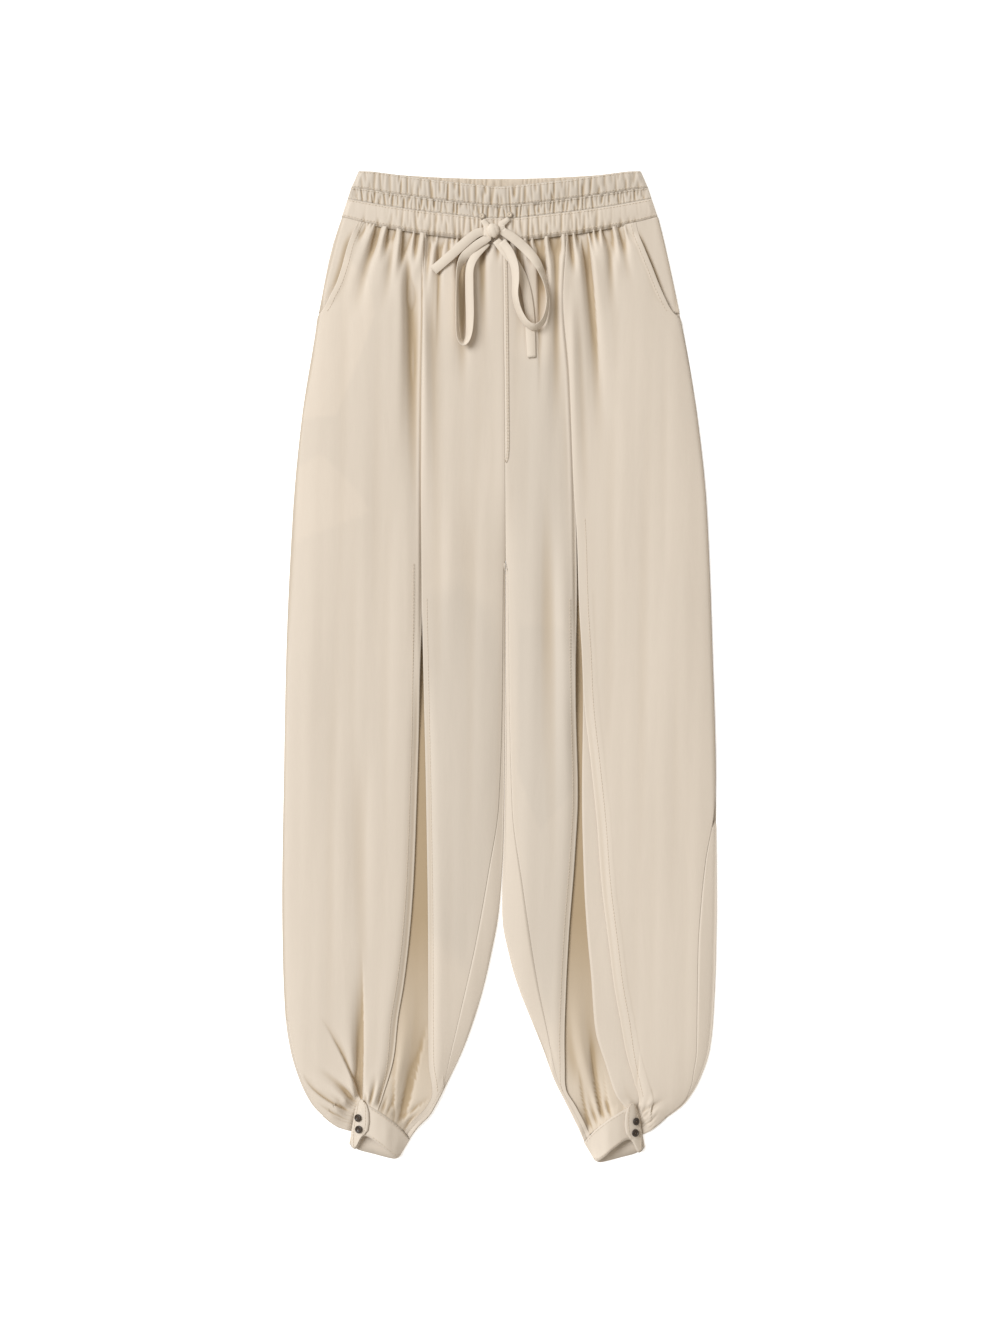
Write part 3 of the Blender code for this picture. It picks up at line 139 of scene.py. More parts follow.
PLEAT_INNER_RIGHT = (
    (70, 66.5), (128, 63.0), (206, 69.0), (321, 73.5), (385, 74.5), (540, 76.5), (624, 78.5),
    (686, 75.5), (764, 69.5), (820, 66.5), (871, 65.0), (905, 65.5), (922, 67.0), (940, 77.0),
    (958, 86.5),
)
PLEAT_OUTER_RIGHT = (
    (70, 67.1), (128, 63.6), (206, 69.6), (321, 74.2), (360, 77.0), (436, 79.5), (487, 82.5),
    (530, 84.5), (592, 91.1), (655, 97.5), (710, 101.5), (776, 109.5), (816, 114.5),
    (849, 120.5), (882, 126.5), (911, 134.5), (930, 139.5),
)
STRIP_RIGHT = (
    (440, 80.5), (530, 83.5), (624, 82.5), (710, 84.5), (761, 87.5), (805, 91.5), (858, 95.5),
    (896, 106.5), (925, 116.5),
)
POCKET_LEFT = (
    (49, -139.5), (64, -147.5), (78, -152.5), (95, -157.0), (113, -163.0), (126, -169.5),
    (138, -175.5), (146, -181.8), (160, -183.8),
)
POCKET_RIGHT = (
    (50, 136.0), (65, 139.5), (75, 143.5), (97, 152.5), (117, 160.5), (129, 166.0),
    (141, 172.5), (150, 181.5), (163, 183.8),
)
POCKET_END = 143.0
POCKET_LAP = 6.0
POCKET_LIFT = 0.5
SIDE_PIECE_TOP = 46.5
RIM_SHADE = 0.4  # darker cloth where it turns away at the outline
RIM_REACH = 1.6
# painted shade: the tone darkens the cloth along the outline, where it turns away from the light
RIM_PAINTED_SHADE_TONE = 0.9
RIM_PAINTED_SHADE_TONE_REACH = 3.0
EDGE_PAINTED_HIGHLIGHT = 0.9  # painted highlight along the open edge of a pleat, where the folded edge catches the light
EDGE_PAINTED_HIGHLIGHT_REACH = 1.3
CREASE_SHADE_REACHES = ((3.0, 1.0), (9.0, 2.6))  # how wide to compare the cloth, and how deep counts as full, for the painted shade in folds and gathers
WAIST_BLEND = 60.0  # rows below the waistband that still follow its curve
CUFF_GATHER_ROWS = 30.0
WRAP_ROWS = (649.0, 660.0, 941.0, 954.0)  # close to where the right side seam starts and ends
BESIDE = {"inseam": "inner", "pleat_inner": "inner", "pocket": "outline"}

CUFF_FRONT_EDGE = (
    (-148.0, 962.0), (-146.0, 950.0), (-142.9, 938.0), (-137.9, 932.5), (-132.5, 934.5),
    (-121.5, 940.0), (-110.5, 947.5), (-99.5, 957.0), (-92.5, 965.0), (-89.5, 969.5),
)
CUFF_BACK_EDGE = (
    (-150.5, 961.0), (-148.8, 950.0), (-143.9, 938.0), (-134.0, 941.0), (-115.0, 950.0),
    (-97.0, 962.0), (-89.5, 969.5),
)
CUFF_CLEARANCE = -0.8
CUFF_BACK_CLEARANCE = 2.7
ANKLE_RISE = 7.0
ANKLE_CENTRE = (-117.5, 942.0)
ANKLE_REACH = (18.0, 24.0)
CuffSection = namedtuple("CuffSection", "top_x top_down low_x low_down height wall_x wall_z")
CUFF = (
    CuffSection(-143.9, 938.0, -150.5, 973.5, 1.9, 1.3, 0.0),
    CuffSection(-141.0, 934.5, -144.0, 979.0, 5.5, 0.5, -1.2),
    CuffSection(-136.0, 932.5, -135.0, 965.5, 9.0, 0.2, -1.2),
    CuffSection(-121.5, 940.0, -120.0, 973.5, 12.0, 0.0, -1.2),
    CuffSection(-110.5, 947.5, -110.5, 982.0, 11.0, 0.0, -1.2),
    CuffSection(-99.5, 957.0, -103.5, 987.0, 7.2, -0.5, -1.1),
    CuffSection(-89.5, 969.5, -99.5, 986.5, 1.9, -1.3, 0.0),
    CuffSection(-97.0, 962.0, -106.0, 989.3, 0.0, -0.2, 1.2),
    CuffSection(-115.0, 950.0, -126.0, 984.5, 0.0, 0.0, 1.2),
    CuffSection(-134.0, 941.0, -142.0, 980.0, 0.0, 0.2, 1.2),
)
TabRow = namedtuple("TabRow", "across first last")
TAB = (
    TabRow(-0.10, 1.80, 2.00), TabRow(0.00, 1.15, 2.30), TabRow(0.20, 0.60, 2.42),
    TabRow(0.50, 0.45, 2.42), TabRow(0.80, 0.50, 2.30), TabRow(0.97, 0.65, 2.02),
)
TAB_LIFT = 0.45
BUTTONS = {"upper": (0.36, 1.45), "lower": (0.68, 1.56)}
BUTTON_PROFILE = (
    (0.0, 1.2), (1.9, 1.2), (2.3, 1.35), (2.6, 1.75), (3.0, 2.0), (3.4, 1.95), (3.75, 1.6), (3.85, 1.1),
    (3.8, 0.5), (3.5, 0.0), (0.0, 0.0),
)
BUTTON_HOLE_RADIUS = 0.42
BUTTON_HOLE_SPREAD = 0.9
BUTTON_HOLE_HEIGHT = 1.23
BUTTON_THREAD_RADIUS = 0.22
BUTTON_THREAD_HEIGHT = 1.35

Gather = namedtuple("Gather", "x depth length")
GATHERS = (
    Gather(-155.0, 1.0, 18), Gather(-134.0, 1.6, 22), Gather(-119.5, 2.6, 40),
    Gather(-107.5, 2.6, 42), Gather(-102.5, 1.6, 20), Gather(-91.5, 3.0, 60),
    Gather(-86.0, 1.8, 25), Gather(-79.5, 2.8, 45), Gather(-68.5, 3.0, 48),
    Gather(-62.5, 2.2, 30), Gather(-57.5, 2.6, 44), Gather(-52.5, 1.8, 24),
    Gather(-48.0, 2.2, 34), Gather(-43.0, 1.6, 22), Gather(-37.0, 2.8, 50),
    Gather(-26.0, 1.8, 30), Gather(-16.5, 2.2, 36), Gather(-10.5, 2.0, 28),
    Gather(-1.5, 1.6, 30), Gather(9.5, 1.6, 30), Gather(18.5, 2.0, 36), Gather(28.5, 2.4, 38),
    Gather(34.5, 2.0, 26), Gather(40.5, 3.0, 60), Gather(49.5, 2.4, 34), Gather(57.0, 2.2, 30),
    Gather(68.5, 2.8, 48), Gather(75.5, 2.2, 30), Gather(82.5, 3.0, 60), Gather(88.5, 2.2, 34),
    Gather(95.0, 2.0, 26), Gather(101.5, 2.2, 32), Gather(108.5, 2.6, 44),
    Gather(119.5, 2.6, 34), Gather(127.5, 2.0, 24), Gather(134.0, 1.6, 20),
    Gather(152.5, 1.0, 18),
)
FINE_GATHERS = 92
FINE_SEED = 11
DEEPER_GATHER = 1.7
NOTCH = 1.2
DEEPER_FOLD = 1.2
FLANK = 0.55
RISE = 2.2
RISE_REACH = 22.0
HEAP = 1.6
ANKLE_HEAP = 3.0
ANKLE_HEAP_UP = 14.0  # from the cuff's edge to the heap's middle
ANKLE_HEAP_REACH = (36.0, 30.0)
DROOP = 0.9  # how far a panel turns down at the outline
DROOP_REACH = 1.8
CENTRE_DIP = 0.35
CENTRE_REACH = 1.6
PLEAT_BESIDE = 14.0  # how far beside an opening the underlay holds the panel up
STRIP_BESIDE = (-1.0, 18.0)
EDGE_REACH = 7.0  # how far from a pleat's open edge the panel comes down on the underlay
EDGE_LIFT = 0.5
LAP = 3.0
LAP_DROP = 1.6
CUFF_GATHERS = 24
CUFF_SEED = 4
TUCK = 0.3
ALLOWANCE = 2.0  # cloth past a seam, under the next piece

Fold = namedtuple("Fold", "x0 down0 x1 down1 x2 down2 depth start end sets_in")
# Folds of the solids, with the finer ones of the shell after them. Depth is below the cloth, start and
# end are the widths at the two ends, and sets_in is the share of the length in which the fold deepens
FOLDS_LEFT = (
    Fold(-119.5, 54, -132.5, 95, -147.5, 160, 2.6, 3, 9, 0.0),
    Fold(-107.0, 57, -109.0, 92, -119.5, 150, 1.8, 3, 7, 0.0),
    Fold(-93.5, 60, -91.0, 180, -101.0, 385, 2.6, 4, 11, 0.0),
    Fold(-85.0, 80, -86.0, 200, -86.0, 400, 3.4, 7, 8, 0.15),
    Fold(-68.5, 64, -71.5, 90, -74.5, 140, 2.2, 3, 4, 0.0),
    Fold(-56.5, 65, -61.5, 95, -63.0, 150, 1.8, 3, 6, 0.0),
    Fold(-39.0, 80, -37.5, 130, -38.0, 230, 3.4, 4, 9, 0.1),
    Fold(-16.5, 70, -17.0, 110, -16.0, 190, 1.6, 4, 8, 0.0),
    Fold(-75.5, 110, -74.0, 250, -72.0, 420, -1.6, 5, 7, 0.2),
    Fold(-50.0, 300, -48.0, 420, -46.0, 560, -1.0, 12, 14, 0.4),
    Fold(-139.5, 540, -141.0, 700, -141.0, 870, 1.8, 14, 9, 0.5),
    Fold(-141.0, 934, -141.5, 890, -140.5, 800, 3.0, 3, 8, 0.0),
    Fold(-143.5, 936, -163.0, 912, -187.5, 893, 3.0, 3, 6, 0.0),
    Fold(-143.5, 934, -152.0, 922, -160.5, 912, 2.4, 2, 5, 0.0),
    Fold(-149.0, 948, -162.0, 930, -182.0, 918, 2.4, 3, 5, 0.0),
    Fold(-130.0, 935, -127.0, 924, -123.0, 900, 2.4, 2, 4, 0.0),
    Fold(-134.5, 934, -134.0, 928, -133.0, 918, 1.8, 2, 3, 0.0),
)
FOLDS_RIGHT = (
    Fold(40.0, 70, 44.5, 110, 44.0, 205, 3.0, 4, 10, 0.0),
    Fold(18.5, 72, 21.0, 110, 20.0, 190, 1.8, 4, 8, 0.0),
    Fold(57.0, 64, 56.5, 120, 59.0, 330, 2.6, 4, 9, 0.0),
    Fold(83.0, 62, 90.0, 120, 98.0, 290, 3.2, 4, 10, 0.0),
    Fold(108.5, 59, 110.5, 90, 112.0, 150, 2.0, 3, 6, 0.0),
    Fold(119.5, 57, 124.0, 80, 131.0, 120, 1.6, 3, 6, 0.0),
    Fold(72.0, 110, 77.0, 300, 84.0, 460, -1.4, 5, 7, 0.2),
    Fold(46.0, 300, 47.5, 520, 46.0, 760, 1.5, 9, 12, 0.4),
    Fold(62.0, 330, 64.0, 520, 62.0, 740, -1.2, 8, 10, 0.4),
    Fold(140.0, 938, 150.0, 936, 163.0, 934, 0.4, 3, 4, 0.0),
    Fold(144.0, 950, 152.0, 938, 166.0, 928, 2.4, 2, 5, 0.0),
    Fold(142.0, 944, 147.0, 930, 152.0, 915, 1.8, 2, 5, 0.0),
)
# Folds that lie over with one crisp side, as only the shell has them: the line is the crisp edge, and
# the trough beside it is to its left where side is -1 and to its right where it is 1
Crisp = namedtuple("Crisp", "x0 down0 x1 down1 x2 down2 depth start end sets_in side")
ANKLE_FOLDS_LEFT = (
    Crisp(-137.0, 932, -149.0, 902, -183.0, 840, 4.4, 4, 10, 0.0, 1),
    Crisp(-137.5, 932, -136.5, 880, -138.0, 770, 4.2, 4, 11, 0.0, -1),
    Crisp(-146.0, 944, -166.0, 934, -196.0, 898, 3.2, 3, 6, 0.0, 1),
    Crisp(-148.0, 953, -160.0, 947, -185.0, 930, 2.2, 2, 4, 0.0, 1),
    Crisp(-150.0, 958, -158.0, 955, -170.0, 950, 1.4, 1.5, 2.5, 0.0, 1),
)
ANKLE_FOLDS_RIGHT = (
    Crisp(140.0, 944, 154.0, 935, 170.0, 926, 2.2, 2, 4, 0.0, -1),
    Crisp(136.5, 938, 137.5, 915, 141.0, 870, 2.0, 3, 7, 0.0, -1),
)
CRISP_WIDTH = 0.7
HIP_FOLDS_LEFT = (
    Crisp(-77.0, 66, -78.0, 200, -80.0, 400, 2.6, 6, 10, 0.12, -1),
    Crisp(-34.0, 80, -31.5, 120, -30.0, 178, 2.6, 5, 9, 0.1, -1),
    Crisp(-60.5, 60, -61.5, 110, -64.0, 200, 1.6, 3, 6, 0.0, 1),
)
HIP_FOLDS_RIGHT = (
    Crisp(38.0, 66, 38.5, 120, 40.0, 250, 2.6, 4, 8, 0.0, 1),
    Crisp(88.0, 62, 94.0, 120, 99.0, 240, 2.0, 4, 8, 0.0, -1),
    Crisp(22.5, 70, 24.0, 105, 25.0, 190, 1.6, 3, 6, 0.0, 1),
)
SHELL_FOLDS = {"left": ANKLE_FOLDS_LEFT + HIP_FOLDS_LEFT, "right": ANKLE_FOLDS_RIGHT + HIP_FOLDS_RIGHT}
UNDERLAY_FOLDS_LEFT = (
    Fold(-122.0, 941, -118.0, 920, -111.0, 894, 1.8, 2, 4, 0.0),
    Fold(-117.5, 942, -114.0, 930, -109.5, 912, 2.4, 2, 4, 0.0),
    Fold(-112.5, 946, -109.5, 934, -105.5, 920, 2.0, 2, 3, 0.0),
    Fold(-106.5, 951, -103.5, 941, -101.0, 928, 2.4, 2, 4, 0.0),
    Fold(-101.5, 955, -96.0, 938, -84.0, 880, 3.6, 3, 8, 0.0),
    Fold(-97.0, 960, -89.0, 950, -80.0, 936, 1.8, 2, 4, 0.0),
    Fold(-110.0, 940, -100.0, 895, -92.0, 800, -3.2, 6, 9, 0.35),
)
UNDERLAY_CRISP = {
    "left": (
        Crisp(-93.5, 942, -84.0, 905, -70.0, 840, 3.2, 3, 9, 0.0, -1),
        Crisp(-105.5, 946, -105.0, 915, -98.0, 860, 2.4, 3, 6, 0.0, -1),
        Crisp(-97.0, 949, -82.0, 937, -66.0, 924, 2.2, 2, 4, 0.0, -1),
        Crisp(-99.5, 953, -97.0, 938, -93.0, 915, 1.8, 1.5, 3, 0.0, 1),
    ),
    "right": (
        Crisp(103.0, 955, 97.0, 925, 90.0, 850, 3.0, 2.5, 7, 0.0, 1),
        Crisp(92.0, 962, 85.0, 938, 79.0, 890, 2.6, 2, 5, 0.0, 1),
        Crisp(112.5, 950, 108.0, 930, 103.0, 890, 2.2, 2, 5, 0.0, -1),
    ),
}
UNDERLAY_FOLDS_RIGHT = (
    Fold(112.0, 946, 104.0, 928, 98.0, 905, 2.0, 2, 4, 0.0),
    Fold(106.0, 950, 98.5, 926, 94.0, 870, 2.8, 2, 4, 0.0),
    Fold(99.0, 956, 92.0, 938, 86.0, 905, 2.2, 2, 4, 0.0),
    Fold(93.0, 962, 85.0, 944, 78.0, 915, 2.2, 2, 5, 0.0),
    Fold(95.0, 930, 84.0, 890, 80.0, 800, -3.0, 6, 8, 0.35),
)

# Soft waves over all of the cloth: wavelength across and down, height and phase
Wave = namedtuple("Wave", "across down height phase")
WAVES = (
    Wave(44.0, 1400.0, 0.22, 0.6), Wave(29.0, -900.0, 0.10, 2.1), Wave(17.0, 700.0, 0.05, 4.0),
    Wave(90.0, 420.0, 0.30, 1.2), Wave(-140.0, 310.0, 0.22, 0.2),
)

# Parts of the front where something behind the thin cloth changes its tone: corners and strength
Tone = namedtuple("Tone", "leg strength blur corners")
TONES = (
    Tone("left", 0.55, 2.5, (
        (-164, 74), (-132, 110), (-124, 143), (-140, 189), (-163, 245), (-205, 250), (-200, 110),
    )),
    Tone("left", 0.4, 2.5, ((-178, 284), (-142, 321), (-129, 342), (-205, 372), (-206, 300))),
    Tone("left", -0.7, 14.0, (
        (-69, 430), (-38, 413), (-10, 440), (6, 490), (4, 660), (-30, 800), (-78, 760),
    )),
    Tone("right", -0.45, 3.0, ((20, 456), (57, 456), (74, 470), (74, 620), (40, 660), (18, 600))),
    Tone("right", -0.7, 14.0, ((16, 190), (60, 190), (76, 440), (78, 700), (52, 850), (26, 800), (14, 500))),
)

TapePoint = namedtuple("TapePoint", "x down lift turn width")
TAPES = {
    "drawstring_end_left": (
        TapePoint(-15.2, 62.5, 0.6, 0, 8.0), TapePoint(-24.0, 65.5, 2.6, 0, 9.0),
        TapePoint(-38.5, 77.5, 4.0, 0, 9.5), TapePoint(-48.0, 86.5, 3.2, 0, 9.5),
        TapePoint(-66.0, 101.5, 0.0, 0, 9.5),
    ),
    "drawstring_loop_left": (
        TapePoint(-11.8, 69.6, 2.2, 0, 8.0), TapePoint(-22.0, 76.0, 2.2, 8, 8.5),
        TapePoint(-33.0, 85.5, 0.4, 12, 9.0), TapePoint(-40.5, 99.0, 0.2, 65, 9.5),
        TapePoint(-42.5, 120.0, 0.2, 82, 9.5), TapePoint(-42.5, 148.0, 0.2, 80, 9.5),
        TapePoint(-41.0, 167.0, 0.2, 70, 9.5), TapePoint(-36.0, 174.5, 0.2, 60, 9.5),
        TapePoint(-31.0, 167.0, 0.2, 50, 9.5), TapePoint(-29.5, 148.0, 0.2, 32, 9.5),
        TapePoint(-30.0, 120.0, 0.2, 28, 9.5), TapePoint(-29.5, 100.0, 0.2, 25, 9.0),
        TapePoint(-24.0, 87.0, 0.2, 15, 8.5), TapePoint(-12.5, 73.5, 0.2, 5, 8.0),
    ),
    "drawstring_loop_right": (
        TapePoint(2.4, 62.0, 0.8, 0, 8.0), TapePoint(14.0, 69.5, 0.8, 0, 9.5),
        TapePoint(27.0, 81.0, 0.4, 10, 10.0), TapePoint(38.0, 95.0, 0.2, 35, 10.0),
        TapePoint(45.0, 112.0, 0.2, 65, 10.0), TapePoint(48.0, 128.0, 0.2, 75, 10.0),
        TapePoint(47.0, 142.0, 0.4, 72, 10.0), TapePoint(43.0, 153.0, 1.4, 62, 10.0),
        TapePoint(35.5, 158.5, 2.2, 55, 10.0), TapePoint(26.5, 154.0, 2.2, 55, 10.0),
        TapePoint(19.0, 141.0, 1.4, 55, 10.0), TapePoint(15.5, 126.0, 0.4, 52, 10.0),
        TapePoint(16.0, 110.0, 1.8, 40, 9.5), TapePoint(14.5, 96.0, 2.6, 25, 9.0),
        TapePoint(9.5, 83.0, 2.6, 10, 8.5), TapePoint(2.0, 73.0, 1.9, 0, 8.0),
    ),
    "drawstring_end_right": (
        TapePoint(-3.5, 71.5, 0.0, 0, 8.0), TapePoint(4.0, 80.5, 0.0, 0, 9.0),
        TapePoint(16.0, 96.0, 0.0, 0, 9.5), TapePoint(25.0, 115.0, 0.0, 0, 9.5),
        TapePoint(29.5, 140.0, 0.0, 0, 9.5), TapePoint(31.0, 165.0, 0.0, 0, 9.5),
        TapePoint(32.0, 188.0, 0.0, 0, 8.5),
    ),
    "drawstring_strand_left": (
        TapePoint(-17.0, 51.0, 0.3, 0, 4.5), TapePoint(-15.2, 53.6, 0.5, 0, 5.5),
        TapePoint(-12.9, 56.2, 0.9, 0, 6.5),
    ),
    "drawstring_strand_right": (
        TapePoint(9.4, 49.7, 0.3, 0, 4.5), TapePoint(6.2, 52.2, 0.5, 0, 5.5),
        TapePoint(1.6, 55.6, 0.9, 0, 6.5),
    ),
}
TAPE_STEP = 2.5
PLACKET = ((71.3, 7.6), (84, 7.9), (115, 8.6), (190, 9.6), (240, 10.0), (275, 10.2), (288, 9.4), (293, 7.6))

# Painted shade: the share of the cloth's colour kept in its deepest folds, gathers and shaded edges
CREASE_SHADE_TONE = (0.64, 0.565, 0.44)

# Camera: one millimetre of the table is one pixel of the photograph, seen from straight above
IMAGE_SIZE = (1000, 1334)
IMAGE_CENTRE = (0.5, 497.0)
LENS = 85.0
SENSOR = 36.0
KEY_FROM = Vector((-1.0, 0.5, 1.2))
KEY_COLOUR = (0.97, 1.0, 1.04)
SKY_COLOUR = (1.0, 0.93, 0.83)
KEY_SOFTNESS = 34.0


class ClothSettings(bpy.types.PropertyGroup):
    colour: bpy.props.FloatVectorProperty(
        name="Cloth", description="Colour of the cloth", subtype="COLOR", size=3,
        min=0, max=1, default=(0.70, 0.605, 0.50),
    )
    # painted shade: a darker copy of the cloth's colour, for the cloth inside the pleats' openings and the
    # back of the waistband
    shade: bpy.props.FloatVectorProperty(
        name="Shaded cloth", description="Colour of the cloth inside the openings", subtype="COLOR",
        size=3, min=0, max=1, default=(0.68, 0.575, 0.455),
    )
    tape: bpy.props.FloatVectorProperty(
        name="Tape", description="Colour of the drawstring", subtype="COLOR", size=3,
        min=0, max=1, default=(0.755, 0.655, 0.54),
    )
    thread: bpy.props.FloatVectorProperty(
        name="Thread", description="Colour of the sewing thread", subtype="COLOR", size=3,
        min=0, max=1, default=(0.67, 0.57, 0.45),
    )
    roughness: bpy.props.FloatProperty(
        name="Roughness", description="Roughness of the cloth", subtype="FACTOR", min=0, max=1, default=0.62,
    )
    column: bpy.props.FloatProperty(
        name="Column", description="Width of a face across a panel", subtype="DISTANCE",
        unit="LENGTH", min=0.001, default=0.00115,
    )


class TrimSettings(bpy.types.PropertyGroup):
    button: bpy.props.FloatVectorProperty(
        name="Button", description="Colour of the buttons", subtype="COLOR", size=3,
        min=0, max=1, default=(0.045, 0.030, 0.020),
    )
    stitch_length: bpy.props.FloatProperty(
        name="Stitch", description="Length of a stitch", subtype="DISTANCE", unit="LENGTH",
        min=0.0005, default=0.0024,
    )
    stitch_gap: bpy.props.FloatProperty(
        name="Gap", description="Length between two stitches", subtype="DISTANCE", unit="LENGTH",
        min=0.0001, default=0.0009,
    )


class StageSettings(bpy.types.PropertyGroup):
    floor: bpy.props.FloatVectorProperty(
        name="Table", description="Colour of the table", subtype="COLOR", size=3,
        min=0, max=1, default=(0.93, 0.93, 0.93),
    )
    glow: bpy.props.FloatProperty(
        name="Glow", description="Light that the table itself gives off", min=0, default=0.45,
    )
    key: bpy.props.FloatProperty(
        name="Key light", description="Strength of the low light from the upper left", min=0, default=2.75,
    )
    sky: bpy.props.FloatProperty(
        name="Sky", description="Strength of the light from all round", min=0, default=0.47,
    )


def curve(table):
    """A smooth function of the table's first column, through its points and without overshoot."""
    at, values = np.array(table, float).T
    step = np.diff(values) / np.diff(at)
    product = step[1:] * step[:-1]
    total = np.where(product > 0, step[1:] + step[:-1], 1.0)
    slope = np.concatenate([step[:1], np.where(product > 0, 2 * product / total, 0.0), step[-1:]])

    def value(where):
        where = np.clip(where, at[0], at[-1])
        i = np.clip(np.searchsorted(at, where, side="right") - 1, 0, len(at) - 2)
        width = at[i + 1] - at[i]
        s = (where - at[i]) / width
        return (
            (1 + 2 * s) * (1 - s) ** 2 * values[i]
            + s * (1 - s) ** 2 * width * slope[i]
            + s * s * (3 - 2 * s) * values[i + 1]
            + s * s * (s - 1) * width * slope[i + 1]
        )

    return value


def ease(share):
    share = np.clip(share, 0.0, 1.0)
    return share * share * (3 - 2 * share)


def mix(first, second, share):
    return first + (second - first) * share


def along(points, shares):
    """Places at the given shares of a line's length."""
    points = np.array(points, float)
    length = np.concatenate([[0], np.cumsum(np.hypot(*np.diff(points, axis=0).T))])
    where = np.asarray(shares) * length[-1]
    return np.stack([np.interp(where, length, points[:, k]) for k in (0, 1)], axis=-1)


def directions(points):
    """Unit vectors along a line of points."""
    run = np.gradient(points, axis=0)
    return run / np.hypot(*run.T)[:, None]


def between(before, here, after, beyond, t):
    """Places on a smooth curve through points, at the share t of the way from here to after."""
    return 0.5 * (
        2 * here + (after - before) * t + (2 * before - 5 * here + 4 * after - beyond) * t**2
        + (3 * here - before - 3 * after + beyond) * t**3
    )


def moved_out(points, distance):
    """The line moved to its left side, seen along it."""
    points = np.array(points, float)
    run = directions(points)
    return points + distance * np.stack([run[:, 1], -run[:, 0]], axis=-1)


def mirrored(points):
    """A line of the left leg's cuff as the right leg has it."""
    return [(-x + CUFF_SHIFT[0], down + CUFF_SHIFT[1]) for x, down in points]


def waist_down(line, x):
    """Distance down of one of the front's waist lines."""
    return np.interp(np.abs(x) / line.half_width, WAIST_SHARES, line.down)


def hem_down(x):
    return waist_down(WAIST["hem"], x)


def bend_share(row):
    """How far a row has taken the shape of the cuff's edge."""
    return float(ease((row - CUFF_BEND[0]) / (CUFF_BEND[1] - CUFF_BEND[0])))


class Leg:
    """The edges of one leg, each a function of the distance down."""

    def __init__(self, side, sign, edges, folds, underlay_folds):
        self.side, self.sign = side, sign
        self.folds, self.underlay_folds = folds, underlay_folds
        front = moved_out(CUFF_FRONT_EDGE, CUFF_CLEARANCE)
        back = moved_out(CUFF_BACK_EDGE, CUFF_BACK_CLEARANCE)
        self.front_edge = front if sign < 0 else mirrored(front)
        self.back_edge = back if sign < 0 else mirrored(back)
        self.ankle = ANKLE_CENTRE if sign < 0 else mirrored([ANKLE_CENTRE])[0]
        self.ends, self.lines, self.last = {}, {}, {}
        for name, (table, share) in edges.items():
            x, down = along(self.front_edge, share)
            self.ends[name] = share
            self.last[name] = float(down)
            self.lines[name] = curve([row for row in table if row[0] < down - 1] + [(down, x)])

    def beside(self, name, edge, row):
        """Where a row of cloth near the cuff meets a line that runs close to an edge."""
        x, down = self.point(edge, row)
        across = self.lines[name](down) - self.lines[edge](down)
        away = along(self.front_edge, self.ends[name]) - along(self.front_edge, self.ends[edge])
        bend = bend_share(row)
        across = mix(across, away[0], bend)
        if name == "inseam" or row < SIDE_WRAP[1]:
            across = math.copysign(max(abs(across), LEAST_WRAP), across)
        return float(x + across), float(down + bend * away[1])

    def point(self, name, row):
        """Where the numbered row of cloth meets an edge."""
        if row > STRAIGHT_ABOVE and name in BESIDE:
            return self.beside(name, BESIDE[name], row)
        down = np.asarray(row, float)
        if row > STRAIGHT_ABOVE:
            share = (row - STRAIGHT_ABOVE) / (LAST_ROW - STRAIGHT_ABOVE)
            down = STRAIGHT_ABOVE + share * (self.last[name] - STRAIGHT_ABOVE)
        level = down
        for _ in range(5):
            x = self.lines[name](down)
            down = level + (hem_down(x) + SEAM - FIRST_ROW) * (1 - ease((row - FIRST_ROW) / WAIST_BLEND))
        return float(self.lines[name](down)), float(down)


LEFT = Leg("left", -1, {
    "outline": (OUTLINE_LEFT, 0.0), "pocket": (POCKET_LEFT + OUTLINE_LEFT[4:], 0.0),
    "pleat_outer": (PLEAT_OUTER_LEFT, 0.53), "pleat_inner": (PLEAT_INNER_LEFT, 0.90),
    "inseam": (INSEAM_LEFT, 0.945), "inner": (INNER_LEFT, 1.0),
}, FOLDS_LEFT, UNDERLAY_FOLDS_LEFT)
RIGHT = Leg("right", 1, {
    "outline": (OUTLINE_RIGHT, 0.0),
    "pocket": (POCKET_RIGHT + OUTLINE_RIGHT[4:8] + SIDE_SEAM_RIGHT, 0.0),
    "pleat_outer": (PLEAT_OUTER_RIGHT, 0.26), "strip": (STRIP_RIGHT, 0.40),
    "pleat_inner": (PLEAT_INNER_RIGHT, 0.90), "inseam": (INSEAM_RIGHT, 0.945),
    "inner": (INNER_RIGHT, 1.0),
}, FOLDS_RIGHT, UNDERLAY_FOLDS_RIGHT)
LEGS = (LEFT, RIGHT)


def fold_depth(fold, x, down):
    """How far one fold lowers the cloth."""
    t = (down - fold.down0) / (fold.down2 - fold.down0)
    middle = (fold.down1 - fold.down0) / (fold.down2 - fold.down0)
    line = (
        fold.x0 * (t - middle) * (t - 1) / middle
        + fold.x1 * t * (t - 1) / (middle * (middle - 1))
        + fold.x2 * t * (t - middle) / (1 - middle)
    )
    inside = (t >= -0.02) & (t <= 1)
    t = np.clip(t, 0, 1)
    fade = (1 - ease(t)) * (ease(t / fold.sets_in) if fold.sets_in else 1.0)
    slant = math.hypot(fold.x2 - fold.x0, fold.down2 - fold.down0) / abs(fold.down2 - fold.down0)
    width = mix(fold.start, fold.end, t) * slant
    if hasattr(fold, "side"):
        width = np.where((x - line) * fold.side > 0, width, CRISP_WIDTH * slant)
    return np.where(inside, fold.depth * fade * np.exp(-(((x - line) / width) ** 2)), 0.0)


def fine_gathers():
    """Small gathers between the large ones."""
    random = np.random.default_rng(FINE_SEED)
    step = 2 * WAIST["hem"].half_width / FINE_GATHERS
    return [
        Gather(-WAIST["hem"].half_width + (k + random.uniform(0.2, 0.8)) * step, random.uniform(0.6, 1.9),
               random.uniform(6, 28))
        for k in range(FINE_GATHERS)
    ]


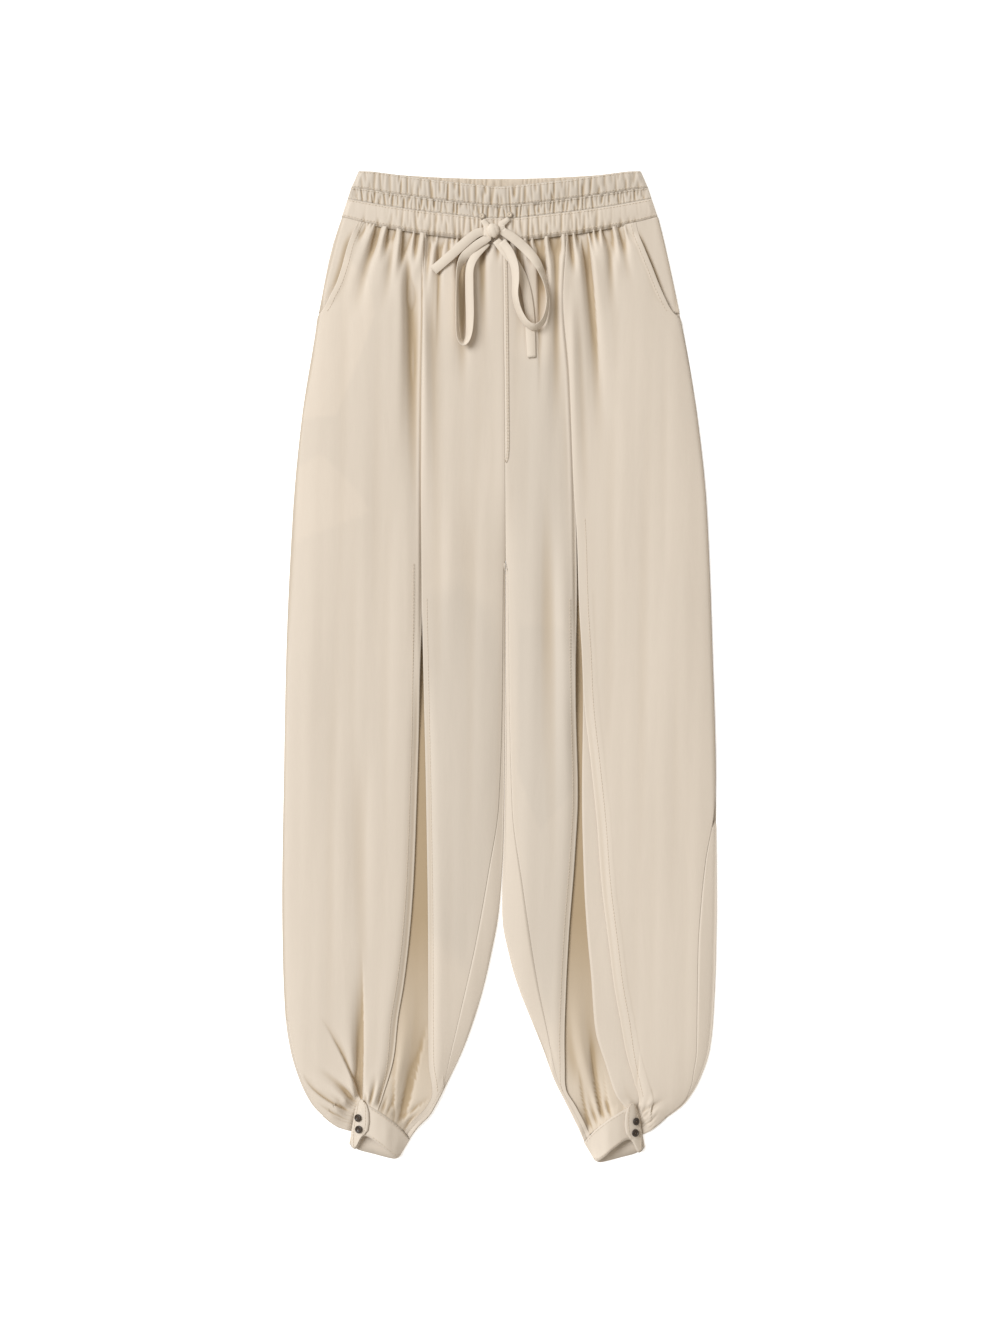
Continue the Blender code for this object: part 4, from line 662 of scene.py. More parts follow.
def gather_depth(x, down, gathers=GATHERS, narrow=1.9):
    """How far the gathers under the waistband lower the cloth."""
    total = 0.0
    spread = np.interp(down, *np.array(OUTLINE_RIGHT, float)[:6].T) / WAIST["hem"].half_width
    for gather in gathers:
        t = np.clip((down - hem_down(gather.x)) / gather.length, 0, 1)
        width = narrow + 3.0 * t
        total = total + gather.depth * (1 - ease(t)) * np.exp(-(((x - gather.x * spread) / width) ** 2))
    return total


def from_outline(leg, x, down):
    """Distance in from the leg's outer edge."""
    return np.abs(leg.lines["outline"](down)) - np.abs(x)


def from_pleat(leg, x, down):
    """Distance from the nearer edge of the leg's open pleat."""
    outer, inner = (np.abs(x - leg.lines[edge](down)) for edge in ("pleat_outer", "pleat_inner"))
    return np.minimum(outer, inner)


def ankle_rise(leg, x, down):
    across = (x - leg.ankle[0]) / ANKLE_REACH[0]
    along_leg = (down - leg.ankle[1]) / ANKLE_REACH[1]
    return ANKLE_RISE * np.exp(-(across**2) - along_leg**2)


def crown(leg, x, down):
    """Height of the front before its folds."""
    outside = np.maximum(np.abs(leg.lines["outline"](down)), 1.0)
    outer = np.maximum(outside - np.abs(x), 0)
    inner = np.maximum(leg.sign * (x - leg.lines["inner"](down)), 0)
    apart = ease((down - 300) / 100)
    leg_part = LEG_CROWN * (1 - np.exp(-outer / CROWN_REACH)) * (1 - apart * np.exp(-inner / CROWN_REACH))
    waist_part = (WAIST_RISE - 0.8) * (1 - np.minimum(np.abs(x) / outside, 1) ** WAIST_POWER)
    near_waist = 1 - ease((down - 60) / 170)
    return LIE + mix(leg_part, waist_part, near_waist) + ankle_rise(leg, x, down)


def underlay_height(leg, x, down):
    height = UNDERLAY_TOP + 0.85 * ankle_rise(leg, x, down)
    for fold in leg.underlay_folds:
        height = height - fold_depth(fold, x, down) * (0.35 if fold.depth > 0 else 0.6)
    return np.maximum(height, UNDERLAY_TOP)


def least_front(leg, x, down):
    """Lowest that a front panel can lie over what is under it."""
    least = np.full_like(x, LIE)
    held_up = (down > 300) & (from_pleat(leg, x, down) < PLEAT_BESIDE)
    least = np.where(held_up, underlay_height(leg, x, down) + SEAM + CLOTH + 0.2, least)
    if "strip" in leg.lines:
        from_edge = x - leg.lines["pleat_outer"](down)
        on_strip = (down > 420) & (from_edge > STRIP_BESIDE[0]) & (from_edge < STRIP_BESIDE[1])
        least = np.where(on_strip, least + SEAM + THIN + 0.5, least)
    from_pocket = leg.sign * (leg.lines["pocket"](down) - x)
    lap = (1 - ease((down - POCKET_END + 14) / 17)) * (down > 40)
    over = crown(leg, x, down) + POCKET_LIFT - 4 * ease((from_pocket - 2) / 26)
    return np.where(lap > 0, np.maximum(least, mix(LIE, over, lap)), least)


def front_height(leg, x, down):
    """Top of a front panel's solid."""
    top = crown(leg, x, down) - gather_depth(x, down)
    for fold in leg.folds:
        top = top - fold_depth(fold, x, down)
    return np.maximum(top, least_front(leg, x, down))


def waves(x, down):
    """Soft waves of cloth that lies loosely."""
    return sum(
        wave.height * np.sin(2 * math.pi * (x / wave.across + down / wave.down) + wave.phase)
        for wave in WAVES
    )


def deeper_folds(leg, x, down):
    """How far the shell's folds go past the solid's, with the cloth heaped up beside them."""
    total = np.zeros(np.shape(x))
    for fold in leg.folds:
        total += DEEPER_FOLD * fold_depth(fold, x, down)
        if fold.depth > 1.5:
            wide = fold._replace(start=2.4 * fold.start, end=2.4 * fold.end)
            total -= FLANK * fold_depth(wide, x, down)
    for fold in SHELL_FOLDS[leg.side]:
        total += fold_depth(fold, x, down)
    return total


def ankle_heap(leg, x, down):
    """How far the gathered cloth heaps up above the cuff."""
    across = (x - leg.ankle[0]) / ANKLE_HEAP_REACH[0]
    along_leg = (down - leg.ankle[1] + ANKLE_HEAP_UP) / ANKLE_HEAP_REACH[1]
    return ANKLE_HEAP * np.exp(-(across**2) - along_leg**2)


def loose_rise(leg, x, down):
    """How far the loose cloth stands above the solid, away from the leg's edges."""
    outer = np.maximum(from_outline(leg, x, down), 0)
    inner = np.maximum(leg.sign * (x - leg.lines["inner"](down)), 0)
    apart = ease((down - 300) / 100)
    free = (1 - np.exp(-outer / RISE_REACH)) * (1 - apart * np.exp(-inner / RISE_REACH))
    return RISE * free * ease((down - 60) / 40)


def front_top(leg, x, down):
    """Top of a front panel's shell: the solid's form with deeper gathers and folds, and soft waves."""
    fade = ease((down - 60) / 60)
    below = down - hem_down(x)
    fine = gather_depth(x, down, FINE, 1.0)
    top = front_height(leg, x, down) + fade * waves(x, down) - fine + loose_rise(leg, x, down)
    top = top + 0.9 * (1 - ease(below / 14)) + HEAP * ease(below / 12) * (1 - ease((below - 20) / 120))
    notch = NOTCH * np.exp(-((below / 4) ** 2)) * gather_depth(x, hem_down(x), GATHERS, 1.2)
    top = top - DEEPER_GATHER * gather_depth(x, down) - notch
    top = top + ankle_heap(leg, x, down) - deeper_folds(leg, x, down)
    droop = DROOP * np.exp(-((np.maximum(from_outline(leg, x, down), 0) / DROOP_REACH) ** 2))
    to_centre = (x - leg.lines["inner"](down)) / CENTRE_REACH
    centre = np.exp(-(to_centre**2)) * (1 - ease((down - CROTCH) / 20))
    least = least_front(leg, x, down) - 0.3
    pleat = from_pleat(leg, x, down)
    near = (down > 330) & (pleat < PLEAT_BESIDE)
    least = np.where(near, np.maximum(least, strip_top(leg, x, down) + SHELL + 0.2), least)
    at_edge = np.exp(-((pleat / EDGE_REACH) ** 2)) * ease((down - 480) / 100)
    top = top - at_edge * np.maximum(top - least - EDGE_LIFT, 0)
    return np.maximum(top - CENTRE_DIP * centre, least) - droop


def lapped_top(leg, x, down):
    """The shell of the panel whose edge dips under its neighbour's, above the pleat's opening."""
    line = "pleat_outer" if leg is LEFT else "pleat_inner"
    beyond = x - leg.lines[line](down)
    closed = 1 - ease((down - 430) / 100)
    dip = LAP_DROP * ease((beyond + 2.0) / 2.6) + 1.8 * ease((beyond + 15) / 15) * ease((down - 90) / 80)
    low = np.maximum(least_front(leg, x, down) - 1.0, SHELL + 1.6)
    return np.maximum(front_top(leg, x, down) - dip * closed, low)


def underlay_top(leg, x, down):
    folds = leg.underlay_folds + UNDERLAY_CRISP[leg.side]
    deeper = sum(fold_depth(fold, x, down) for fold in folds)
    top = underlay_height(leg, x, down) + 0.4 + 0.6 * ankle_heap(leg, x, down) - deeper
    return np.maximum(top + 0.3 * waves(x, down), 1.2 + SHELL)


def strip_top(leg, x, down):
    """The right leg's facing strip, or on the left leg the underlay itself."""
    top = underlay_top(leg, x, down)
    return top + (SHELL + 0.3 if leg is RIGHT else 0.0)


FINE = fine_gathers()


def cuff_edge_height(leg, x):
    """Height of the cuff's upper edge, where the leg is sewn into it."""
    if leg.sign > 0:
        x = CUFF_SHIFT[0] - x
    front = CUFF[:7]
    return np.interp(x, [row.top_x for row in front], [row.height for row in front])


def cuff_gathers():
    """Small gathers along the cuff's edge: place along the edge, depth, length and width."""
    random = np.random.default_rng(CUFF_SEED)
    return [
        (0.05 + 0.92 * (k + random.uniform(0.2, 0.8)) / CUFF_GATHERS, random.uniform(0.6, 2.0),
         random.uniform(9, 26), random.uniform(0.008, 0.015))
        for k in range(CUFF_GATHERS)
    ]


def sewn_to_cuff(leg, places, shares, row):
    """Heights of one row after the cuff has gathered it."""
    x, z = places[:, 0], places[:, 2].copy()
    for at, depth, length, width in cuff_gathers():
        t = (LAST_ROW - row) / length
        if t < 1:
            z -= depth * (1 - float(ease(t))) * np.exp(-(((shares - at) / (width * (1 + 1.4 * t))) ** 2))
    sewn = float(ease((row - LAST_ROW + 13) / 13))
    low = cuff_edge_height(leg, x) - TUCK
    return np.maximum(mix(z, low - 0.25 * np.maximum(places[:, 2] - z, 0), sewn), SHELL + 0.1)


def waist_height(share):
    return LIE + WAIST_RISE * (1 - np.abs(share) ** WAIST_POWER)


def cloth_top(x, down):
    """Top of whatever lies at a place on the front, for the drawstring to lie on."""
    leg = LEFT if x < LEFT.lines["inner"](down) else RIGHT
    if down < hem_down(x) + 1.5:
        return float(waist_height(x / 155) + 1.4)
    placket = SEAM + THIN + 0.2 if 2 < x < 14 else 0.0
    at = np.array([x]), np.array([down])
    return float(max(front_height(leg, *at)[0], front_top(leg, *at)[0])) + placket


def place(x, down, z):
    return Vector((x * MM, (LENGTH / 2 - down) * MM, z * MM))


def placed(points):
    """Rows of x, down and height as metres in the frame."""
    points = np.asarray(points, float)
    return np.stack([points[..., 0], LENGTH / 2 - points[..., 1], points[..., 2]], axis=-1) * MM


def link(name, mesh, material):
    obj = bpy.data.objects.new(name, mesh)
    bpy.context.scene.collection.objects.link(obj)
    mesh.materials.append(material)
    mesh.shade_smooth()
    return obj


def grid_piece(name, points, material, closed=False, up=True, tone=None, caps=False, deep=0.0):
    """A sheet from a grid of points. A closed one joins its last column to its first."""
    rows, cols = points.shape[:2]
    number = np.arange(rows * cols).reshape(rows, cols)
    if closed:
        number = np.concatenate([number, number[:, :1]], axis=1)
    faces = np.stack([number[:-1, :-1], number[1:, :-1], number[1:, 1:], number[:-1, 1:]], axis=-1)
    faces = faces.reshape(-1, 4)
    at = placed(points).reshape(-1, 3)
    across, back = at[faces[:, 2]] - at[faces[:, 0]], at[faces[:, 3]] - at[faces[:, 1]]
    if up is not None and (np.cross(across, back)[:, 2].sum() > 0) != up:
        faces = faces[:, ::-1]
    polygons = faces.tolist()
    if caps:
        polygons += [number[0, :-1].tolist()[::-1], number[-1, :-1].tolist()]
    mesh = bpy.data.meshes.new(name)
    mesh.from_pydata(at.tolist(), [], polygons)
    if up is None:
        tidy = bmesh.new()
        tidy.from_mesh(mesh)
        bmesh.ops.recalc_face_normals(tidy, faces=tidy.faces)
        tidy.to_mesh(mesh)
        tidy.free()
    nothing = np.zeros(rows * cols)
    # the crease attribute is painted shade: folds and gathers, plus any painted shade given as deep, blend
    # the cloth towards its darker Deep colour
    crease = np.clip((crease_shade_of(points) if up else nothing.reshape(rows, cols)) + deep, 0, 1)
    for name, values in (("tone", nothing if tone is None else tone), ("crease", crease)):
        attribute = mesh.attributes.new(name, "FLOAT", "POINT")
        attribute.data.foreach_set("value", values.astype(np.float32).ravel())
    return link(mesh.name, mesh, material)


def give_wall(obj, wall=SHELL):
    """Turns a sheet into cloth with a wall on its inner side."""
    solid = obj.modifiers.new("wall", "SOLIDIFY")
    solid.thickness = wall * MM
    solid.offset = -1.0
    solid.use_even_offset = False
    return obj


def finish_cloth(obj, nodes, flat=None, fullness=1.0):
    """Hangs a piece of cloth on the root and hides the solids that it stands for. Its cut size is worked out
    from flat and fullness but not kept.
    """
    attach(obj, "root")
    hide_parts(*nodes)
    mesh = obj.data
    areas = np.empty(len(mesh.polygons))
    mesh.polygons.foreach_get("area", areas)
    size = np.array(obj.dimensions)
    flat = (size[0] * fullness, size[1]) if flat is None else (flat[0] * MM, flat[1] * MM)
    return obj


def settings():
    scene = bpy.context.scene
    return scene.trousers_cloth, scene.trousers_trim, scene.trousers_stage


def node_group(name, inputs, outputs, build):
    """A shader group with named sockets, built once."""
    group = bpy.data.node_groups.get(name)
    if group:
        return group
    group = bpy.data.node_groups.new(name, "ShaderNodeTree")
    for socket, kind, default in inputs:
        made = group.interface.new_socket(socket, in_out="INPUT", socket_type=kind)
        if default is not None:
            made.default_value = default
    for socket, kind in outputs:
        group.interface.new_socket(socket, in_out="OUTPUT", socket_type=kind)
    build(group, group.nodes.new("NodeGroupInput"), group.nodes.new("NodeGroupOutput"))
    return group


def add_node(tree, kind, links=(), **values):
    """A node with its plain properties set and its inputs linked or given a value."""
    node = tree.nodes.new(kind)
    for key, value in values.items():
        setattr(node, key, value)
    for socket, source in links:
        if hasattr(source, "is_output"):
            tree.links.new(source, node.inputs[socket])
        else:
            node.inputs[socket].default_value = source
    return node


def calculate(tree, operation, *values, clamp=False):
    """A Math node's result."""
    node = add_node(tree, "ShaderNodeMath", tuple(enumerate(values)), operation=operation, use_clamp=clamp)
    return node.outputs[0]


def blend(tree, share, first, second):
    """A colour between two."""
    links = ((0, share), ("A", first), ("B", second))
    return add_node(tree, "ShaderNodeMix", links, data_type="RGBA").outputs["Result"]


def stretched(tree, where, scale):
    """A pattern's place, stretched."""
    return add_node(tree, "ShaderNodeMapping", (("Vector", where), ("Scale", scale))).outputs["Vector"]


def build_weave(group, given, result):
    """Warp and weft threads, uneven in thickness."""
    heights = []
    for axis in ("X", "Y"):
        bands = add_node(group, "ShaderNodeTexWave", (
            ("Vector", given.outputs["Vector"]), ("Scale", given.outputs["Threads"]), ("Distortion", 1.2),
            ("Detail", 1.0), ("Detail Scale", 0.4),
        ), wave_type="BANDS", bands_direction=axis)
        heights.append(bands.outputs["Fac"])
    both = calculate(group, "ADD", *heights)
    slubs = stretched(group, given.outputs["Vector"], (900, 60, 200))
    noise = add_node(group, "ShaderNodeTexNoise", (("Vector", slubs), ("Scale", 1.0), ("Detail", 3.0)))
    uneven = calculate(group, "MULTIPLY", noise.outputs["Fac"], given.outputs["Slub"])
    group.links.new(calculate(group, "ADD", both, uneven), result.inputs["Height"])
    group.links.new(noise.outputs["Fac"], result.inputs["Streak"])


def build_creases(group, given, result):
    """Small soft creases that run down the cloth, and a few across it."""
    parts = []
    for scale, weight in (((46, 9, 40), 1.0), ((14, 22, 20), 0.6)):
        noise = add_node(group, "ShaderNodeTexNoise", (
            ("Vector", stretched(group, given.outputs["Vector"], scale)), ("Scale", given.outputs["Scale"]),
            ("Detail", 2.0), ("Roughness", 0.45), ("Distortion", 0.35),
        ))
        parts.append(calculate(group, "MULTIPLY", noise.outputs["Fac"], weight))
    group.links.new(calculate(group, "ADD", *parts), result.inputs["Height"])


def build_shade(group, given, result):
    """Two tones of one cloth: a slow unevenness, thread streaks and what lies behind it, with the tone
    attribute also carrying painted shade at the outline and a painted highlight at the pleats' open edges.
    The crease attribute then blends in the Deep colour as painted shade in folds and gathers.
    """
    slow = add_node(group, "ShaderNodeTexNoise", (
        ("Vector", given.outputs["Vector"]), ("Scale", 5.0), ("Detail", 2.0),
    ))
    behind = add_node(group, "ShaderNodeAttribute", attribute_name="tone", attribute_type="GEOMETRY")
    slow_part = calculate(group, "MULTIPLY_ADD", slow.outputs["Fac"], 0.22, 0.28)
    streak = calculate(group, "MULTIPLY_ADD", given.outputs["Streak"], 0.22, slow_part)
    total = calculate(group, "MULTIPLY_ADD", behind.outputs["Fac"], 0.5, streak, clamp=True)
    colour = blend(group, total, given.outputs["Dark"], given.outputs["Light"])
    depth = add_node(group, "ShaderNodeAttribute", attribute_name="crease", attribute_type="GEOMETRY")
    deep = blend(group, depth.outputs["Fac"], colour, given.outputs["Deep"])
    group.links.new(deep, result.inputs["Colour"])


def cloth_material(name, colour, contrast=0.12, threads=620.0, crease=0.0005, roughness=None, cool=1.02):
    """Plain woven cloth with a slight sheen."""
    found = bpy.data.materials.get(name)
    if found:
        return found
    weave = node_group("Weave", (
        ("Vector", "NodeSocketVector", None), ("Threads", "NodeSocketFloat", 620.0),
        ("Slub", "NodeSocketFloat", 1.0),
    ), (("Height", "NodeSocketFloat"), ("Streak", "NodeSocketFloat")), build_weave)
    creases = node_group("Soft creases", (
        ("Vector", "NodeSocketVector", None), ("Scale", "NodeSocketFloat", 1.0),
    ), (("Height", "NodeSocketFloat"),), build_creases)
    shade = node_group("Cloth shade", (
        ("Vector", "NodeSocketVector", None), ("Streak", "NodeSocketFloat", 0.5),
        ("Dark", "NodeSocketColor", None), ("Light", "NodeSocketColor", None),
        ("Deep", "NodeSocketColor", None),
    ), (("Colour", "NodeSocketColor"),), build_shade)
    material = bpy.data.materials.new(name)
    material.use_nodes = True
    tree = material.node_tree
    shader = tree.nodes["Principled BSDF"]
    where = add_node(tree, "ShaderNodeTexCoord").outputs["Object"]
    woven = add_node(tree, "ShaderNodeGroup", node_tree=weave)
    woven.inputs["Threads"].default_value = threads
    tree.links.new(where, woven.inputs["Vector"])
    creased = add_node(tree, "ShaderNodeGroup", node_tree=creases)
    tree.links.new(where, creased.inputs["Vector"])
    shaded = add_node(tree, "ShaderNodeGroup", node_tree=shade)
    tree.links.new(where, shaded.inputs["Vector"])
    tree.links.new(woven.outputs["Streak"], shaded.inputs["Streak"])
    dark = [value * (1 - contrast) for value in colour]
    light = [min(value * (1 + 0.5 * contrast), 1.0) for value in colour]
    shaded.inputs["Dark"].default_value = (dark[0], dark[1] * cool, dark[2] * cool**2, 1)
    shaded.inputs["Light"].default_value = (*light, 1)
    # the Deep colour is painted shade for folds, gathers and shaded edges
    shaded.inputs["Deep"].default_value = (*(value * share for value, share in zip(colour, CREASE_SHADE_TONE)), 1)
    tree.links.new(shaded.outputs["Colour"], shader.inputs["Base Color"])
    soft = add_node(tree, "ShaderNodeBump", (
        ("Height", creased.outputs["Height"]), ("Distance", crease), ("Strength", 1.0),
    ))
    threads_bump = add_node(tree, "ShaderNodeBump", (
        ("Height", woven.outputs["Height"]), ("Distance", 0.00006), ("Strength", 0.6),
        ("Normal", soft.outputs["Normal"]),
    ))
    tree.links.new(threads_bump.outputs["Normal"], shader.inputs["Normal"])
    shader.inputs["Roughness"].default_value = settings()[0].roughness if roughness is None else roughness
    shader.inputs["Specular IOR Level"].default_value = 0.35
    shader.inputs["Sheen Weight"].default_value = 0.25
    shader.inputs["Sheen Roughness"].default_value = 0.45
    return material


def front_cloth():
    return cloth_material("Beige cloth", settings()[0].colour)


def shaded_cloth():
    return cloth_material("Shaded cloth", settings()[0].shade, contrast=0.16)


def tape_cloth():
    return cloth_material("Drawstring tape", settings()[0].tape, threads=900.0, crease=0.0004)


def trim_material(name, colour, roughness, speckle=0.35):
    """Thread, horn and other small trim: one colour with a fine speckle."""
    found = bpy.data.materials.get(name)
    if found:
        return found
    material = bpy.data.materials.new(name)
    material.use_nodes = True
    tree = material.node_tree
    shader = tree.nodes["Principled BSDF"]
    where = add_node(tree, "ShaderNodeTexCoord").outputs["Object"]
    noise = add_node(tree, "ShaderNodeTexNoise", (("Vector", where), ("Scale", 900.0), ("Detail", 3.0)))
    dark = tuple(value * (1 - speckle) for value in colour)
    light = tuple(min(value * (1 + speckle), 1.0) for value in colour)
    tone = blend(tree, noise.outputs["Fac"], (*dark, 1), (*light, 1))
    tree.links.new(tone, shader.inputs["Base Color"])
    bump = add_node(tree, "ShaderNodeBump", (
        ("Height", noise.outputs["Fac"]), ("Distance", 0.00005), ("Strength", 0.4),
    ))
    tree.links.new(bump.outputs["Normal"], shader.inputs["Normal"])
    shader.inputs["Roughness"].default_value = roughness
    return material


def thread_material():
    return trim_material("Sewing thread", settings()[0].thread, 0.7, 0.12)


def panel_rows():
    """Rows down a front panel, closer together at the gathers and at the ankle."""
    return np.concatenate([
        np.arange(FIRST_ROW, 140, 2.0), np.arange(140, 320, 3.0), np.arange(320, 840, 5.0),
        np.arange(840, LAST_ROW, 2.0), [LAST_ROW],
    ])


def panel_grid(leg, outer, inner, rows, height, laps, column=None):
    """Points of a panel between two edges of a leg, which it may reach past by a lap in each row."""
    start, end = leg.ends[outer], leg.ends[inner]
    column = column or settings()[0].column / MM
    widest = max(abs(leg.lines[inner](down) - leg.lines[outer](down)) for down in (80, 300, 500, 700, 850))
    shares = np.linspace(0, 1, max(6, int(widest / column)))
    grid = []
    for row, first_lap, last_lap in zip(rows, *(np.broadcast_to(lap, len(rows)) for lap in laps)):
        first, last = np.array(leg.point(outer, row)), np.array(leg.point(inner, row))
        away = np.array([leg.sign, 0.0])
        narrow = 1 - 0.8 * float(ease((row - 865) / 50))
        first = first + away * first_lap * narrow
        last = last - away * last_lap * narrow
        places = mix(first, last, shares[:, None])
        bend = bend_share(row)
        if bend:
            low = along(leg.front_edge, mix(start, end, shares))
            places = places + bend * (low - mix(low[0], low[-1], shares[:, None]))
        dip = 1 - float(ease((row - FIRST_ROW) / WAIST_BLEND))
        if dip:
            places[:, 1] = row + (hem_down(places[:, 0]) + SEAM - FIRST_ROW) * dip
        x, down = places.T
        line = np.stack([x, down, height(leg, x, down)], axis=-1)
        if row > LAST_ROW - CUFF_GATHER_ROWS:
            line[:, 2] = sewn_to_cuff(leg, line, mix(start, end, shares), row)
        grid.append(line)
    return np.array(grid)


def crease_shade_of(grid):
    """How deep each point lies in a fold or gather, from 0 to 1: how much painted shade darkens the cloth
    there.
    """
    z = grid[..., 2]
    step = np.hypot(*np.diff(grid[..., :2], axis=1).transpose(2, 0, 1)).mean()
    total = np.zeros(z.shape)
    for reach, depth in CREASE_SHADE_REACHES:
        count = max(1, int(reach / step))
        kernel = np.ones(2 * count + 1) / (2 * count + 1)
        wide = np.pad(z, ((0, 0), (count, count)), mode="edge")
        mean = np.array([np.convolve(line, kernel, mode="valid") for line in wide])
        total += np.clip((mean - z) / depth, 0, 1)
    across = np.arange(z.shape[1]) * step
    from_edge = np.minimum(across, across[-1] - across)
    return np.clip(total, 0, 1) * ease((from_edge - 0.8) / 2.5)


def inside_share(corners, x, down, blur):
    """How far places lie inside a polygon, from 0 outside to 1 inside, soft over the blur."""
    corners = np.array(corners, float)
    inside = np.zeros(x.shape, bool)
    nearest = np.full(x.shape, 1e9)
    for (ax, ad), (bx, bd) in zip(corners, np.roll(corners, -1, axis=0)):
        crosses = ((ad > down) != (bd > down)) & (x < (bx - ax) * (down - ad) / (bd - ad + 1e-9) + ax)
        inside ^= crosses
        length = (bx - ax) ** 2 + (bd - ad) ** 2
        t = np.clip(((x - ax) * (bx - ax) + (down - ad) * (bd - ad)) / length, 0, 1)
        nearest = np.minimum(nearest, np.hypot(x - ax - t * (bx - ax), down - ad - t * (bd - ad)))
    return ease(0.5 + np.where(inside, nearest, -nearest) / (2 * blur))


def tone_with_painted_light(leg, grid):
    """Tone from what lies behind the front: pocket bag, lining and the leg's own folds; with painted shade
    along the outline and a painted highlight along the pleat's open edge.
    """
    x, down = grid[..., 0], grid[..., 1]
    total = np.zeros(x.shape)
    for tone in TONES:
        if tone.leg == leg.side:
            total += tone.strength * inside_share(tone.corners, x, down, tone.blur)
    edge = x - leg.lines["pleat_outer"](down)
    total -= RIM_PAINTED_SHADE_TONE * np.exp(-((from_outline(leg, x, down) / RIM_PAINTED_SHADE_TONE_REACH) ** 2))
    return total + EDGE_PAINTED_HIGHLIGHT * np.exp(-((edge / EDGE_PAINTED_HIGHLIGHT_REACH) ** 2)) * ease((down - 520) / 60)


def rim_shade(leg, grid):
    """Shade where a panel turns away at the outline."""
    rim = from_outline(leg, grid[..., 0], grid[..., 1])
    return RIM_SHADE * np.exp(-((rim / RIM_REACH) ** 2))


def make_front_panels(leg):
    """The outer and the inner panel. The left leg's outer one and the right leg's inner one lap under."""
    rows = panel_rows()
    lap = LAP * (1 - ease((rows - 400) / 130))
    seam = np.full(len(rows), 0.05)
    outer = ("front_outer", "pocket", "pleat_outer", lapped_top if leg is LEFT else front_top,
             (2 * seam, lap if leg is LEFT else 0 * lap))
    inner = ("front_inner", "pleat_inner", "inseam", front_top if leg is LEFT else lapped_top,
             (0 * lap if leg is LEFT else lap, 2 * seam))
    for name, first, last, height, laps in (outer, inner):
        grid = panel_grid(leg, first, last, rows, height, laps)
        piece = grid_piece(f"{name}_{leg.side}_cloth", grid, front_cloth(), tone=tone_with_painted_light(leg, grid),
                           deep=rim_shade(leg, grid))
        give_wall(piece)
        finish_cloth(piece, [f"{name}_{leg.side}"], fullness=1.1)


def make_underlay(leg):
    rows = np.concatenate([np.arange(330, 840, 8.0), np.arange(840, LAST_ROW, 2.4), [LAST_ROW]])
    grid = panel_grid(leg, "pleat_outer", "pleat_inner", rows, underlay_top, (8.0, 8.0), 1.2)
    down = grid[..., 1]
    # painted shade: the shaded cloth inside the opening darkens further above the ankle, fading out towards
    # the cuff
    deep = 0.85 * (1 - ease((down - 700) / 210)) + 0.25 * (1 - ease((down - 870) / 70))
    piece = grid_piece(f"pleat_underlay_{leg.side}_cloth", grid, shaded_cloth(), deep=deep)
    give_wall(piece)
    finish_cloth(piece, [f"pleat_underlay_{leg.side}"], fullness=1.2)


def make_strip(leg):
    rows = np.concatenate([np.arange(450, 880, 8.0), np.arange(880, LAST_ROW, 3.0), [LAST_ROW]])
    grid = panel_grid(leg, "pleat_outer", "strip", rows, strip_top, (12.0, 0.0), 2.0)
    piece = grid_piece("facing_strip_right_cloth", grid, front_cloth())
    give_wall(piece)
    finish_cloth(piece, ["facing_strip_right"], flat=(40, 515))


def make_side_piece(leg):
    """The piece that shows beside the slant pocket, in the shade of the pocket's edge."""
    shares = np.linspace(0, 1, 22)
    grid = []
    for share in np.linspace(0, 1, 40):
        at = mix(SIDE_PIECE_TOP, POCKET_END, share)
        outer = leg.lines["outline"](at)
        inner = leg.lines["pocket"](at) - leg.sign * POCKET_LAP
        x = mix(outer, inner, shares)
        level = np.maximum(at, hem_down(x) + SEAM + 3 * share)
        outside = np.abs(outer) - np.abs(x)
        top = crown(leg, x, level) - 1.1 * np.exp(-((outside / 2.2) ** 2)) + 0.3 * waves(2 * x, level)
        top -= 1.1 * ease((at - POCKET_END + 18) / 14)
        grid.append(np.stack([x, level, np.maximum(top, 1.9)], axis=-1))
    grid = np.array(grid)
    x, down = grid[..., 0], grid[..., 1]
    # painted shade on the side piece beside the pocket's edge, over the pocket's opening, with the painted
    # rim shade at the outline
    from_edge = leg.sign * (x - leg.lines["pocket"](down))
    opened = ease((down - 56) / 20) * (1 - ease((down - 105) / 30))
    wide = 6.0 if leg is LEFT else 3.5
    deep = 0.9 * opened * (1 - ease((from_edge - 1) / wide)) + rim_shade(leg, grid)
    piece = grid_piece(f"pocket_side_{leg.side}_cloth", grid, front_cloth(), deep=deep)
    give_wall(piece)
    finish_cloth(piece, [f"pocket_side_{leg.side}"])


def back_waist_down(line, x):
    line = WAIST[line]
    share = np.minimum(np.abs(x) / line.half_width, 1)
    return line.side + line.back_dip * (1 - share**2)


def edge_path(leg, edge, seam, row, wraps):
    """The back's outer face past one edge: round to a seam on the front, or down to nothing."""
    edge_x, down = leg.point(edge, row)
    way = leg.sign if edge == "inner" else -leg.sign
    turn = [
        (edge_x + way * CLOTH * (1 - math.sin(angle)), down, LIE / 2 * (1 - math.cos(angle)))
        for angle in np.linspace(0.25, 2.9, 7)
    ]
    if not wraps:
        rise = [(edge_x + way * 0.2 * k, down, 0.05 * k) for k in range(7)]
        return rise + [(edge_x + way * 1.6, down, 0.4)] * 10
    seam_x, seam_down = leg.point(seam, row)
    run = np.linspace(0, 1, 8)
    x = mix(edge_x + way * CLOTH, seam_x - way * SEAM / 2, run)
    level = mix(down, seam_down, run)
    top = front_top(leg, x, level) - 0.1
    if row > LAST_ROW - CUFF_GATHER_ROWS:
        strip = np.stack([x, level, top], axis=-1)
        top = sewn_to_cuff(leg, strip, np.linspace(leg.ends[edge], leg.ends[seam], len(run)), row)
    allowance = [
        (x[-1] + way * past, seam_down, top[-1] - drop) for past, drop in ((0.2, 0.75), (ALLOWANCE, 0.95))
    ]
    return turn + list(zip(x, level, top)) + allowance


